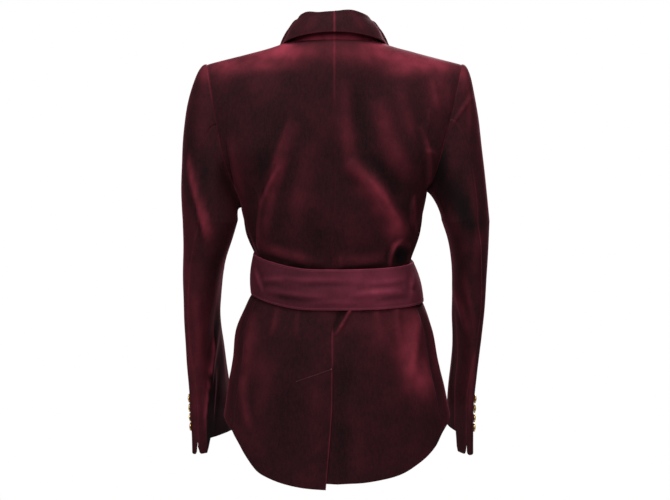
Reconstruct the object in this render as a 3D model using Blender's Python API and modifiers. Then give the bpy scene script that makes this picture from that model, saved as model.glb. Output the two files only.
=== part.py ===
"""Belted velvet blazer in its worn, hollow form: front towards -Y, wearer's left towards +X.

Every cloth piece is a wall: a grid of points on the outside of the garment, the same grid
moved in by the thickness of the cloth, and a rim that joins the two all round.
The origin lies midway between the points where the shoulder seams meet the neck.
Sizes are in millimetres and are turned into metres when a mesh is made.
"""

import math

import bpy
import numpy as np
from mathutils import Vector

METRES = 0.001

# Cloth, seams and laps
CLOTH = 2.0
SEAM = 0.4
ARMHOLE_SEAM = 0.6
LAP = 2.8
STEP = 1e-3

# Neck and shoulders
NECK_HALF = 68.0
NECK_BACK = 58.0
NECK_Y = 8.0
NECK_Z = -3.0
NECK_RISE = 3.0
SHOULDER_HALF = 201.0
SHOULDER_DROP = 34.0
TIP_Y = 2.0

# Armholes
UNDERARM_Z = -250.0
SCOOP = 10.0
SCOOP_FROM = 0.55
SCOOP_SHARE = 0.5
SCOOP_POWER = 6.0
FLAT_FROM = 0.35
BACK_EDGE_SHARE = 0.58
FRONT_EDGE_SHARE = 0.51
FLAT_POWER = 2.5
BACK_ROUND = 2.6
FRONT_ROUND_NECK = 1.6
FRONT_ROUND_ARM = 2.3

# Hem
HEM_SIDE_Z = -598.0
FRONT_CORNER_RISE = 34.0
FRONT_CORNER_SHARE = 0.24

# Hem drop below the side: degrees round from centre back or front, left back, right back, front
HEM_DROPS = np.array(
    [
        (0.0, 98.0, 89.0, 78.0),
        (15.0, 94.0, 84.5, 74.0),
        (30.0, 83.0, 74.0, 64.0),
        (38.0, 73.0, 63.0, 54.0),
        (46.0, 53.5, 51.0, 42.0),
        (54.0, 32.0, 37.0, 30.0),
        (62.0, 17.0, 20.0, 18.0),
        (75.0, 5.0, 6.0, 6.0),
        (90.0, 0.0, 0.0, 0.0),
    ]
)

# Rings of the body from the hem up: height, half width, depth behind and before the middle,
# sway of the middle towards the wearer's left
FULLNESS = 2.25
RINGS = np.array(
    [
        (-720.0, 200.0, 130.0, 124.0, -4.0),
        (-594.0, 183.0, 122.0, 116.0, -4.0),
        (-557.0, 176.0, 120.0, 114.0, -3.0),
        (-505.0, 164.0, 114.0, 110.0, -1.5),
        (-454.0, 155.0, 104.0, 104.0, 0.0),
        (-418.0, 141.0, 93.0, 97.0, -1.0),
        (-380.0, 122.0, 83.0, 90.0, -0.5),
        (-345.0, 124.0, 92.0, 97.0, 0.5),
        (-300.0, 139.0, 101.0, 114.0, 2.0),
        (-275.0, 145.0, 104.0, 121.0, 1.5),
        (-250.0, 150.0, 105.0, 120.0, 0.0),
    ]
)

# Seam lines from the hem up: height, centre back towards the left, side back and side front
# in degrees round from centre back, front edge from the centre (less than 0 is past it)
LINES = np.array(
    [
        (-600.0, 16.5, 61.0, 118.0, -42.0),
        (-510.0, 6.0, 63.0, 116.0, -42.0),
        (-432.0, 3.0, 65.0, 114.0, -40.0),
        (-378.0, 2.0, 66.0, 113.0, 1.0),
        (-345.0, 2.0, 67.0, 112.0, 1.0),
        (-300.0, 1.5, 71.0, 108.0, 16.0),
        (-275.0, 1.0, 76.0, 105.0, 23.0),
        (-250.0, 0.0, 80.0, 102.0, 30.0),
    ]
)
CENTRE_BACK, SIDE_BACK, SIDE_FRONT, FRONT_EDGE = 1, 2, 3, 4

# Centre-back vent, by the share of the height from hem to underarm, and the lap of the fronts
VENT_TOP = 0.375
VENT_SET = 0.3125
UNDERLAP_FULL = 0.25
UNDERLAP = 38.0
UNDERLAP_FROM = 40.0
UNDERLAP_TO = 14.0
FRONT_LAP_TOP_Z = -300.0
FRONT_LAP_FULL_Z = -340.0
FRONT_LAP_FROM = 78.0
FRONT_LAP_TO = 52.0

# Largest folds of the back: from x, z to x, z, half width, height outwards
BACK_FOLDS = np.array(
    [
        (92.0, -190.0, 118.0, -290.0, 13.0, 5.0),
        (70.0, -120.0, 84.0, -240.0, 16.0, -3.0),
        (-22.0, -110.0, -92.0, -300.0, 15.0, 5.0),
        (-44.0, -90.0, -70.0, -230.0, 14.0, -4.0),
        (-22.0, -430.0, 0.0, -478.0, 9.0, 4.0),
        (-126.0, -430.0, -118.0, -560.0, 16.0, 6.0),
        (118.0, -440.0, 150.0, -590.0, 16.0, 5.0),
        (60.0, -470.0, 78.0, -690.0, 22.0, -4.0),
        (-62.0, -460.0, -74.0, -690.0, 20.0, -4.0),
    ]
)

# Collar: a shawl with a high stand at the neck that runs into the lapels
COLLAR_STAND = 44.0
COLLAR_SIDE_LOSS = 3.0
COLLAR_LEAN = 23.0
COLLAR_BACK_UPRIGHT = 0.7
COLLAR_ROLL = 4.0
COLLAR_GAP = 2.4
COLLAR_LIE = 4.0
COLLAR_EDGE_X = 82.5
COLLAR_EDGE_Y = 74.0
COLLAR_EDGE_Z = -4.5
COLLAR_EDGE_RISE = 16.5
COLLAR_EDGE_CURVE = 1.6
COLLAR_BULGE = 2.0
COLLAR_BULGE_UP = 0.5
STAND_END = 0.42
STAND_FADE = 1.5
LAPEL_LEAN = -0.25
LAPEL_SET = 3.0
LAPEL_FADE = 1.3
LAPEL_END_Z = -328.0

# Section of the roll in roll heights: outwards, upwards
ROLL_SECTION = np.array(
    [
        (-0.1, 0.0),
        (0.5, 0.8),
        (1.5, 0.8),
    ]
)

# Lapel width as a share of the front, from the break (0) up to the shoulder seam (1)
LAPEL_WIDTH = np.array(
    [
        (0.0, 0.11),
        (0.14, 0.30),
        (0.28, 0.48),
        (0.45, 0.56),
        (0.62, 0.50),
        (0.78, 0.30),
        (0.9, 0.15),
        (1.0, 0.125),
    ]
)

# Belt
BELT_TOP_Z = -345.0
BELT_BOTTOM_Z = -409.0
BELT_DIP = 5.0
BELT_RISE = 15.0
BELT_RISE_FROM = 0.2
BELT_RISE_TO = 1.25
BELT_CLOTH = 3.0
BELT_CLEAR = 0.8
BELT_LAP_ANGLE = 0.45
BELT_RAMP_FROM = 0.40
BELT_RAMP_TO = 0.08
BELT_STEPS = 72

# Sleeves, hung from the armhole: height, middle x and y, half width across, half depth,
# turn of the front edge towards the body in degrees
SLEEVE_RINGS = {
    "left": np.array(
        [
            (-680.0, 196.0, -29.0, 18.0, 64.0, 26.0),
            (-560.0, 203.5, -26.0, 18.5, 62.0, 22.0),
            (-500.0, 209.5, -22.0, 21.0, 60.0, 18.0),
            (-440.0, 214.0, -16.0, 23.5, 58.0, 13.0),
            (-400.0, 212.5, -10.0, 28.0, 58.0, 9.0),
            (-350.0, 209.0, -4.0, 33.0, 60.0, 6.0),
            (-315.0, 203.0, 0.0, 39.0, 62.0, 3.0),
            (-285.0, 198.5, 3.0, 44.0, 63.0, 0.0),
        ]
    ),
    "right": np.array(
        [
            (-680.0, 204.0, -26.0, 13.0, 63.0, 13.0),
            (-560.0, 207.5, -23.0, 13.5, 61.0, 11.0),
            (-500.0, 213.5, -18.0, 16.0, 60.0, 10.0),
            (-440.0, 216.0, -13.0, 22.0, 58.0, 9.0),
            (-400.0, 217.0, -9.0, 24.5, 58.0, 7.0),
            (-350.0, 217.0, -4.0, 27.5, 60.0, 5.0),
            (-315.0, 214.5, 0.0, 32.0, 62.0, 3.0),
            (-285.0, 209.5, 3.0, 38.0, 63.0, 0.0),
        ]
    ),
}
SLEEVE_FULLNESS = 2.2
BICEP_Z = -285.0
CUFF_Z = {"left": -637.0, "right": -629.0}
CUFF_LOW_Z = -660.0
CUFF_DROOP_AT = 90.0
CUFF_DROOP_HALF = 54.0
CAP_OUT_TOP = 21.0
CAP_OUT_UNDER = 9.0
CAP_LIFT = 0.35
CAP_DOWN_TOP = 150.0
CAP_DOWN_UNDER = 9.0
CAP_SPLAY = {"left": 0.06, "right": -0.11}
BACK_CORNER_TURN = 150.0
FRONT_CORNER_TURN = 210.0
BACK_SEAM_TURN = 70.0
FRONT_SEAM_TURN = 256.0
VENT_HEIGHT = 24.0
VENT_OPEN = 4.0
ELBOW_FOLD = {
    "left": (226.0, -200.0, 201.0, -320.0, 9.0, 4.0),
    "right": (236.0, -330.0, 206.0, -440.0, 11.0, 3.0),
}

# Cuff buttons
BUTTON_RADIUS = 7.0
BUTTON_THICK = 3.4
BUTTON_EDGE = 1.4
BUTTON_SEAT = 0.4
BUTTON_TURN = 46.0
BUTTON_TOP_Z = -572.0
BUTTON_PITCH = 15.5
BUTTON_COUNT = 4
BUTTON_SIDES = 14
WELD = 0.01

# Dome of a button from its middle out: share of the radius, share of the thickness
BUTTON_DOME = (
    (0.0, 1.0),
    (0.5, 0.92),
    (0.88, 0.62),
)

# Colours
VELVET_COLOUR = (0.055, 0.012, 0.018)
BELT_COLOUR = (0.075, 0.016, 0.026)
BRASS_COLOUR = (0.65, 0.43, 0.17)

# Grid sizes
ROWS_LOW = 17
ROWS_UP = 11
ROW_SPREAD = 1.3
BACK_COLUMNS = 13
FRONT_COLUMNS = 11
SIDE_COLUMNS = 7
NECK_SHARE = 0.4
CAP_STEPS = np.array([0.0, 0.05, 0.13, 0.25, 0.4, 0.58, 0.78, 1.0])
ARM_ROWS = 15
COLLAR_BACK_STEPS = 8
FALL_STEPS = 5


def clear_scene():
    """Removes every object that is already in the scene."""
    for item in list(bpy.data.objects):
        bpy.data.objects.remove(item, do_unlink=True)


def make_material(name, colour, roughness, metallic=0.0, sheen=0.0):
    """One Principled material."""
    material = bpy.data.materials.new(name)
    material.use_nodes = True
    shader = material.node_tree.nodes["Principled BSDF"]
    shader.inputs["Base Color"].default_value = (*colour, 1.0)
    shader.inputs["Roughness"].default_value = roughness
    shader.inputs["Metallic"].default_value = metallic
    shader.inputs["Sheen Weight"].default_value = sheen
    material.diffuse_color = (*colour, 1.0)
    return material


def smooth(knots, values, at):
    """Cubic curve through the values at rising knots, with slopes from the neighbours."""
    slopes = np.gradient(values, knots)
    low = np.clip(np.searchsorted(knots, at) - 1, 0, len(knots) - 2)
    width = knots[low + 1] - knots[low]
    t = np.clip((at - knots[low]) / width, 0.0, 1.0)
    rise = t * t * (3.0 - 2.0 * t)
    start = t * (1.0 - t) ** 2 * width * slopes[low]
    end = t * t * (t - 1.0) * width * slopes[low + 1]
    return values[low] * (1.0 - rise) + values[low + 1] * rise + start + end


def ease(low, high, at):
    """Soft step from 0 at low to 1 at high."""
    t = np.clip((at - low) / (high - low), 0.0, 1.0)
    return t * t * (3.0 - 2.0 * t)


def power(value, exponent):
    """Power that keeps the sign."""
    return np.sign(value) * np.abs(value) ** exponent


def unit(vectors):
    """Vectors scaled to length one."""
    return vectors / np.linalg.norm(vectors, axis=-1, keepdims=True)


def line_at(column, z):
    """Value of a seam line at height z."""
    return np.interp(z, LINES[:, 0], LINES[:, column])


def fold_height(x, z, folds):
    """Sum of soft ridges, each along a straight run and fading to its ends."""
    total = np.zeros_like(x)
    for x0, z0, x1, z1, half, height in folds:
        dx, dz = x1 - x0, z1 - z0
        length = math.hypot(dx, dz)
        along = ((x - x0) * dx + (z - z0) * dz) / length**2
        off = ((x - x0) * dz - (z - z0) * dx) / length
        ends = np.clip(1.0 - (2.0 * along - 1.0) ** 2, 0.0, 1.0)
        total += height * ends * np.exp(-((off / half) ** 2))
    return total


def ring_point(angle, z):
    """Point of the body ring at height z; the angle runs from centre back to centre front."""
    wide, back, front = (smooth(RINGS[:, 0], RINGS[:, k], z) for k in (1, 2, 3))
    deep = np.where(np.cos(angle) > 0.0, back, front)
    x = wide * power(np.sin(angle), 2.0 / FULLNESS)
    y = deep * power(np.cos(angle), 2.0 / FULLNESS)
    return np.stack([x, y, z], -1)


def angle_at(x, z):
    """Angle at which the back of the body ring reaches x."""
    wide = smooth(RINGS[:, 0], RINGS[:, 1], z)
    return np.arcsin(power(x / wide, FULLNESS / 2.0))


def row_height(low):
    """Height of a row of the lower body at the side, 0 at the hem and 1 at the underarm."""
    return HEM_SIDE_Z + (UNDERARM_Z - HEM_SIDE_Z) * low


def lower_point(angle, low, side, corner=0.0):
    """Point of the body below the underarm, its rows stretched down to the curved hem."""
    degrees = np.degrees(np.arccos(np.abs(np.cos(angle))))
    back, front = (
        smooth(HEM_DROPS[:, 0], HEM_DROPS[:, k], degrees) for k in (1 if side > 0 else 2, 3)
    )
    hang = np.where(np.cos(angle) > 0.0, back, front) - corner
    return ring_point(angle, row_height(low) - hang * (1.0 - low) ** 2)


def moved_out(points, distance):
    """Points moved level, away from the upright line through the origin."""
    away = points * np.array([1.0, 1.0, 0.0])
    return points + unit(away) * distance[..., None]


def scoop(rise):
    """Share of the way out to the shoulder that the armhole edge has reached at a rise."""
    return SCOOP_SHARE * (1.0 - (1.0 - rise) ** SCOOP_POWER) + (1.0 - SCOOP_SHARE) * rise


def upper_point(ring, top, flat, turn, round_power):
    """Point between the underarm ring and the top line, over a rounded quarter arch."""
    rise = np.sin(turn) ** (2.0 / round_power)
    fall = np.abs(np.cos(turn)) ** (2.0 / round_power)
    deep = ring[..., 1] + (flat - ring[..., 1]) * ease(0.0, FLAT_FROM, rise)
    x = ring[..., 0] + (top[..., 0] - ring[..., 0]) * scoop(rise)
    y = top[..., 1] + (deep - top[..., 1]) * fall
    z = ring[..., 2] + (top[..., 2] - ring[..., 2]) * rise
    return np.stack([x, y, z], -1)


def shoulder_point(share):
    """Point of the shoulder seam, 0 at the neck and 1 at the sleeve."""
    x = NECK_HALF + (SHOULDER_HALF - NECK_HALF) * share
    y = NECK_Y + (TIP_Y - NECK_Y) * share
    z = NECK_Z - SHOULDER_DROP * share
    return np.stack([x, y, z], -1)


def neck_point(turn):
    """Point of the back neckline, 0 at the shoulder seam and a quarter turn at centre back."""
    x = NECK_HALF * np.cos(turn)
    y = NECK_Y + NECK_BACK * np.sin(turn)
    z = NECK_Z + NECK_RISE * np.sin(turn)
    return np.stack([x, y, z], -1)


def back_panel(s, v, side):
    """Outside of one back: s from centre back to the side, v from hem to underarm to top."""
    low = np.clip(v, 0.0, 1.0)
    row = row_height(low)
    under = UNDERLAP * ease(VENT_SET, UNDERLAP_FULL, low) * (side < 0)
    start = angle_at(side * line_at(CENTRE_BACK, row) - under, row)
    angle = start + (np.radians(line_at(SIDE_BACK, row)) - start) * s
    points = lower_point(angle, low, side)
    if side < 0:
        down = ease(VENT_TOP, VENT_SET, low)
        near = ease(UNDERLAP_FROM, UNDERLAP_TO, points[..., 0])
        points = moved_out(points, -LAP * down * near)
    neck = neck_point(0.5 * np.pi * (1.0 - s / NECK_SHARE))
    shoulder = shoulder_point((s - NECK_SHARE) / (1.0 - NECK_SHARE))
    top = np.where((s < NECK_SHARE)[..., None], neck, shoulder)
    flat = RINGS[-1, 2] * (1.0 - (1.0 - BACK_EDGE_SHARE) * np.abs(s) ** FLAT_POWER)
    turn = 0.5 * np.pi * np.clip(v - 1.0, 0.0, 1.0)
    upper = upper_point(points, top, flat, turn, BACK_ROUND)
    points = np.where((v > 1.0)[..., None], upper, points)
    mirrored = points * np.array([side, 1.0, 1.0])
    folds = fold_height(mirrored[..., 0], mirrored[..., 2], BACK_FOLDS)
    return moved_out(points, folds)


def front_panel(s, v, side):
    """Outside of one front: s from its edge to the side, v from hem to underarm to top."""
    low = np.clip(v, 0.0, 1.0)
    row = row_height(low)
    start = np.pi - angle_at(line_at(FRONT_EDGE, row), row)
    angle = start + (np.radians(line_at(SIDE_FRONT, row)) - start) * s
    corner = FRONT_CORNER_RISE * np.clip(1.0 - s / FRONT_CORNER_SHARE, 0.0, 1.0) ** 2
    points = lower_point(angle, low, side, corner)
    if side > 0:
        down = ease(FRONT_LAP_TOP_Z, FRONT_LAP_FULL_Z, row)
        near = ease(FRONT_LAP_FROM, FRONT_LAP_TO, points[..., 0])
        points = moved_out(points, -LAP * down * near)
    top = shoulder_point(s)
    flat = -RINGS[-1, 3] * (1.0 - (1.0 - FRONT_EDGE_SHARE) * np.abs(s) ** FLAT_POWER)
    turn = 0.5 * np.pi * np.clip(v - 1.0, 0.0, 1.0)
    round_power = FRONT_ROUND_NECK + (FRONT_ROUND_ARM - FRONT_ROUND_NECK) * s
    upper = upper_point(points, top, flat, turn, round_power)
    return np.where((v > 1.0)[..., None], upper, points)


def side_panel(s, v, side):
    """Outside of one side panel: s from side back to side front, v from hem to armhole."""
    row = row_height(v)
    start = np.radians(line_at(SIDE_BACK, row))
    angle = start + (np.radians(line_at(SIDE_FRONT, row)) - start) * s
    points = lower_point(angle, v, side)
    dip = SCOOP * np.sin(np.pi * np.clip(s, 0.0, 1.0)) * ease(SCOOP_FROM, 1.0, v)
    return ring_point(angle, points[..., 2] - dip)


def faced(surface, s, v, side, last):
    """Points and outward normals of a panel, the slope taken on the row's own side of the underarm."""
    points = surface(s, v, side)
    across = surface(s + STEP, v, side) - surface(s - STEP, v, side)
    low = np.where(v > 1.0, np.maximum(v - STEP, 1.0), np.maximum(v - STEP, 0.0))
    high = np.where(v > 1.0, np.minimum(v + STEP, last), np.minimum(v + STEP, 1.0))
    normals = unit(np.cross(across, surface(s, high, side) - surface(s, low, side)))
    outwards = np.sum(normals[..., :2] * points[..., :2], axis=-1)
    return points, normals * np.sign(np.median(outwards))


def rows_and_columns(rows, columns):
    """Two grids, one for each parameter."""
    return np.meshgrid(columns, rows)


def body_rows():
    """Row values of a panel that runs from hem to shoulder."""
    up = 1.0 + np.linspace(0.0, 1.0, ROWS_UP) ** ROW_SPREAD
    return np.concatenate([np.linspace(0.0, 1.0, ROWS_LOW), up[1:]])


def mirrored(points, side):
    """Points taken to the wearer's right when side is less than 0."""
    return points * np.array([side, 1.0, 1.0])


def swayed(points, side):
    """Points of the body on their own side, moved with the sway of the rings."""
    placed = mirrored(points, side)
    placed[..., 0] += smooth(RINGS[:, 0], RINGS[:, 4], placed[..., 2])
    return placed


def wall_object(name, outer, inner, material, parts):
    """Closed wall between two grids of points, turned so that its faces look out."""
    rows, columns = outer.shape[:2]
    points = np.concatenate([outer.reshape(-1, 3), inner.reshape(-1, 3)]) * METRES
    index = np.arange(rows * columns).reshape(rows, columns)
    a, b = index[:-1, :-1].ravel(), index[:-1, 1:].ravel()
    c, d = index[1:, 1:].ravel(), index[1:, :-1].ravel()
    outside = np.stack([a, b, c, d], -1)
    inside = np.stack([d, c, b, a], -1) + rows * columns
    rim = np.concatenate([index[0, :-1], index[:-1, -1], index[-1, :0:-1], index[:0:-1, 0]])
    after = np.roll(rim, -1)
    edge = np.stack([after, rim, rim + rows * columns, after + rows * columns], -1)
    faces = np.concatenate([outside, inside, edge])
    corners = points[faces]
    halves = np.concatenate([corners[:, [0, 1, 2]], corners[:, [0, 2, 3]]])
    if np.linalg.det(halves).sum() < 0.0:
        faces = faces[:, ::-1]
    return mesh_object(name, points, faces, material, parts)


def mesh_object(name, points, faces, material, parts):
    """Object in the garment's collection from points and faces."""
    mesh = bpy.data.meshes.new(name)
    mesh.from_pydata(points.tolist(), [], faces.tolist())
    mesh.materials.append(material)
    item = bpy.data.objects.new(name, mesh)
    parts.objects.link(item)
    return item


def body_walls(side, word, velvet, parts):
    """Back, side and front of one half; returns the armhole edge, outside and inside."""
    rows = body_rows()
    across = SEAM / 2.0
    tilt = unit(np.array([SHOULDER_DROP, 0.0, SHOULDER_HALF - NECK_HALF]))

    columns = np.linspace(0.0, 1.0, BACK_COLUMNS)
    s, v = rows_and_columns(rows, columns)
    back, normal = faced(back_panel, s, v, side, 2.0)
    normal[-1, columns > NECK_SHARE] = tilt
    seam_way = unit(back[:, 1] - back[:, 0])
    back[:, 0] += seam_way * across
    side_way = unit(back[:, -1] - back[:, -2])
    back[:ROWS_LOW, -1] -= side_way[:ROWS_LOW] * across
    back[-1, columns >= NECK_SHARE, 1] += across
    back_inner = back - CLOTH * normal
    wall_object(f"back_{word}", swayed(back, side), swayed(back_inner, side), velvet, parts)

    s, v = rows_and_columns(np.linspace(0.0, 1.0, ROWS_LOW), np.linspace(0.0, 1.0, SIDE_COLUMNS))
    flank, normal = faced(side_panel, s, v, side, 1.0)
    for column, inwards in ((0, 1), (-1, -2)):
        flank[:, column] += unit(flank[:, inwards] - flank[:, column]) * across
    flank_inner = flank - CLOTH * normal
    wall_object(f"side_{word}", swayed(flank, side), swayed(flank_inner, side), velvet, parts)

    s, v = rows_and_columns(rows, np.linspace(0.0, 1.0, FRONT_COLUMNS))
    front, normal = faced(front_panel, s, v, side, 2.0)
    normal[-1] = tilt
    side_way = unit(front[:, -1] - front[:, -2])
    front[:ROWS_LOW, -1] -= side_way[:ROWS_LOW] * across
    front[-1, :, 1] -= across
    front_inner = front - CLOTH * normal
    wall_object(f"front_{word}", swayed(front, side), swayed(front_inner, side), velvet, parts)

    upper = slice(None, ROWS_LOW - 2, -1)
    edge = np.concatenate([back[upper, -1], flank[-1, 1:-1], front[ROWS_LOW - 1 : -1, -1]])
    edge_inner = np.concatenate(
        [back_inner[upper, -1], flank_inner[-1, 1:-1], front_inner[ROWS_LOW - 1 : -1, -1]]
    )
    back_way = unit(back[upper, -1] - back[upper, -2])
    front_way = unit(front[ROWS_LOW - 1 : -1, -1] - front[ROWS_LOW - 1 : -1, -2])
    flank_way = unit(flank[-1, 1:-1] - flank[-2, 1:-1])
    away = np.concatenate([back_way, flank_way, front_way])
    corners = [ROWS_UP - 1, ROWS_UP + SIDE_COLUMNS - 2]
    away[corners] = unit(away[corners] + np.array([0.0, 0.0, 1.0]))
    away[0] = np.array([1.0, 0.0, 0.0])
    return edge + ARMHOLE_SEAM * away, edge_inner + ARMHOLE_SEAM * away


def sleeve_ring(turn, z, word):
    """Point of the sleeve at height z; the turn runs from outside to back, body and front."""
    table = SLEEVE_RINGS[word]
    x, y, half, deep, twist = (smooth(table[:, 0], table[:, k], z) for k in range(1, 6))
    across = half * power(np.cos(turn), 2.0 / SLEEVE_FULLNESS)
    along = deep * power(np.sin(turn), 2.0 / SLEEVE_FULLNESS)
    twist = np.radians(twist)
    px = x + across * np.cos(twist) + along * np.sin(twist)
    py = y + along * np.cos(twist) - across * np.sin(twist)
    fold = fold_height(px, z, [ELBOW_FOLD[word]]) * ease(0.0, 0.5, np.sin(turn))
    return np.stack([px, py + fold, z], -1)


def sleeve_turns(edge):
    """Turn of every armhole point round the sleeve, by its share of the edge it lies on."""
    marks = [0, ROWS_UP - 1, ROWS_UP + SIDE_COLUMNS - 2, len(edge)]
    turns = [0.0, BACK_CORNER_TURN, FRONT_CORNER_TURN, 360.0]
    closed = np.concatenate([edge, edge[:1]])
    run = np.concatenate([[0.0], np.cumsum(np.linalg.norm(np.diff(closed, axis=0), axis=1))])
    return np.radians(np.interp(run[:-1], run[marks], turns))


def sleeve_walls(side, word, edge, edge_inner, velvet, parts):
    """Upper and under sleeve of one arm, from the armhole edge to the cuff."""
    turn = sleeve_turns(edge)
    under = 0.5 - 0.5 * np.cos(turn)
    out = CAP_OUT_TOP + (CAP_OUT_UNDER - CAP_OUT_TOP) * under
    down = CAP_DOWN_TOP + (CAP_DOWN_UNDER - CAP_DOWN_TOP) * under
    lift = CAP_LIFT * np.cos(turn)
    lead = np.stack([np.ones_like(turn), np.zeros_like(turn), np.maximum(lift, 0.0)], -1)
    bicep = sleeve_ring(turn, np.full_like(turn, BICEP_Z), word)
    first = edge + lead * out[:, None]
    splay = CAP_SPLAY[word] * np.maximum(np.cos(turn), 0.0)
    second = bicep + np.stack([splay, np.zeros_like(turn), np.ones_like(turn)], -1) * down[:, None]
    t = CAP_STEPS[:, None, None]
    cap = (1 - t) ** 3 * edge + 3 * (1 - t) ** 2 * t * first
    cap = cap + 3 * (1 - t) * t**2 * second + t**3 * bicep

    from_vent = (np.degrees(turn) - CUFF_DROOP_AT) / CUFF_DROOP_HALF
    hem = CUFF_Z[word] + (CUFF_LOW_Z - CUFF_Z[word]) * np.exp(-(from_vent**4))
    share = np.linspace(0.0, 1.0, ARM_ROWS)[1:, None]
    arm = sleeve_ring(turn[None, :] + 0.0 * share, BICEP_Z + (hem - BICEP_Z) * share, word)
    outer = np.concatenate([cap, arm])

    down_way = np.gradient(outer, axis=0)
    round_way = np.roll(outer, -1, axis=1) - np.roll(outer, 1, axis=1)
    normal = unit(np.cross(round_way, down_way))
    middle = outer.mean(axis=1, keepdims=True)
    normal *= np.sign(np.median(np.sum(normal * (outer - middle), axis=-1)))
    inner = outer - CLOTH * normal
    inner[0] = edge_inner

    back_seam = int(np.argmin(np.abs(turn - math.radians(BACK_SEAM_TURN))))
    front_seam = int(np.argmin(np.abs(turn - math.radians(FRONT_SEAM_TURN))))
    height = outer[:, back_seam, 2]
    open_low = height[-1] + VENT_HEIGHT
    vent = SEAM / 2.0 + VENT_OPEN / 2.0 * ease(open_low, height[-1], height) * (height < BICEP_Z)
    plain = np.full_like(vent, SEAM / 2.0)
    count = len(turn)
    upper = np.arange(front_seam, count + back_seam + 1) % count
    lower = np.arange(back_seam, front_seam + 1)
    for title, picked, gaps in (
        ("sleeve_upper", upper, (plain, vent)),
        ("sleeve_under", lower, (vent, plain)),
    ):
        out_grid, in_grid = outer[:, picked].copy(), inner[:, picked].copy()
        for column, inwards, gap in ((0, 1, gaps[0]), (-1, -2, gaps[1])):
            shift = unit(out_grid[:, inwards] - out_grid[:, column]) * gap[:, None]
            out_grid[:, column] += shift
            in_grid[:, column] += shift
        wall_object(
            f"{title}_{word}", mirrored(out_grid, side), mirrored(in_grid, side), velvet, parts
        )


def button_profile(brass):
    """Half section of a button from the middle of its dome, over the rim, to its flat back."""
    outline = [(share * BUTTON_RADIUS, thick * BUTTON_THICK) for share, thick in BUTTON_DOME]
    outline.append((BUTTON_RADIUS, BUTTON_EDGE))
    outline.append((BUTTON_RADIUS, BUTTON_EDGE / 2.0))
    outline.append((BUTTON_RADIUS - BUTTON_EDGE / 2.0, 0.0))
    outline.append((0.0, 0.0))
    points = [(radius * METRES, 0.0, height * METRES) for radius, height in outline]
    mesh = bpy.data.meshes.new("button_profile")
    mesh.from_pydata(points, [(k, k + 1) for k in range(len(points) - 1)], [])
    mesh.materials.append(brass)
    return mesh


def cuff_buttons(side, word, profile, parts):
    """Turned buttons set along the upper sleeve beside the cuff vent."""
    turn = np.array(math.radians(BUTTON_TURN))
    for number in range(BUTTON_COUNT):
        z = np.array(BUTTON_TOP_Z - BUTTON_PITCH * number)
        spot = sleeve_ring(turn, z, word)
        along = sleeve_ring(turn + STEP, z, word) - sleeve_ring(turn - STEP, z, word)
        up = sleeve_ring(turn, z + 1.0, word) - sleeve_ring(turn, z - 1.0, word)
        axis = unit(np.cross(along, up))
        axis *= np.sign(axis[0])
        button = bpy.data.objects.new(f"button_{word}_{number + 1}", profile)
        button.location = mirrored(spot + axis * BUTTON_SEAT, side) * METRES
        button.rotation_euler = Vector(mirrored(axis, side)).to_track_quat("Z", "Y").to_euler()
        turned = button.modifiers.new("turned", "SCREW")
        turned.steps = BUTTON_SIDES
        turned.render_steps = BUTTON_SIDES
        turned.use_merge_vertices = True
        turned.merge_threshold = WELD * METRES
        parts.objects.link(button)


def collar_stand(base, up, out, roll):
    """Points of one collar section up the stand and round the roll, before the fall."""
    points = [base, 0.5 * (base + roll)]
    for outwards, upwards in ROLL_SECTION * COLLAR_ROLL:
        points.append(roll + out * outwards + up * upwards)
    return points


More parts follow.
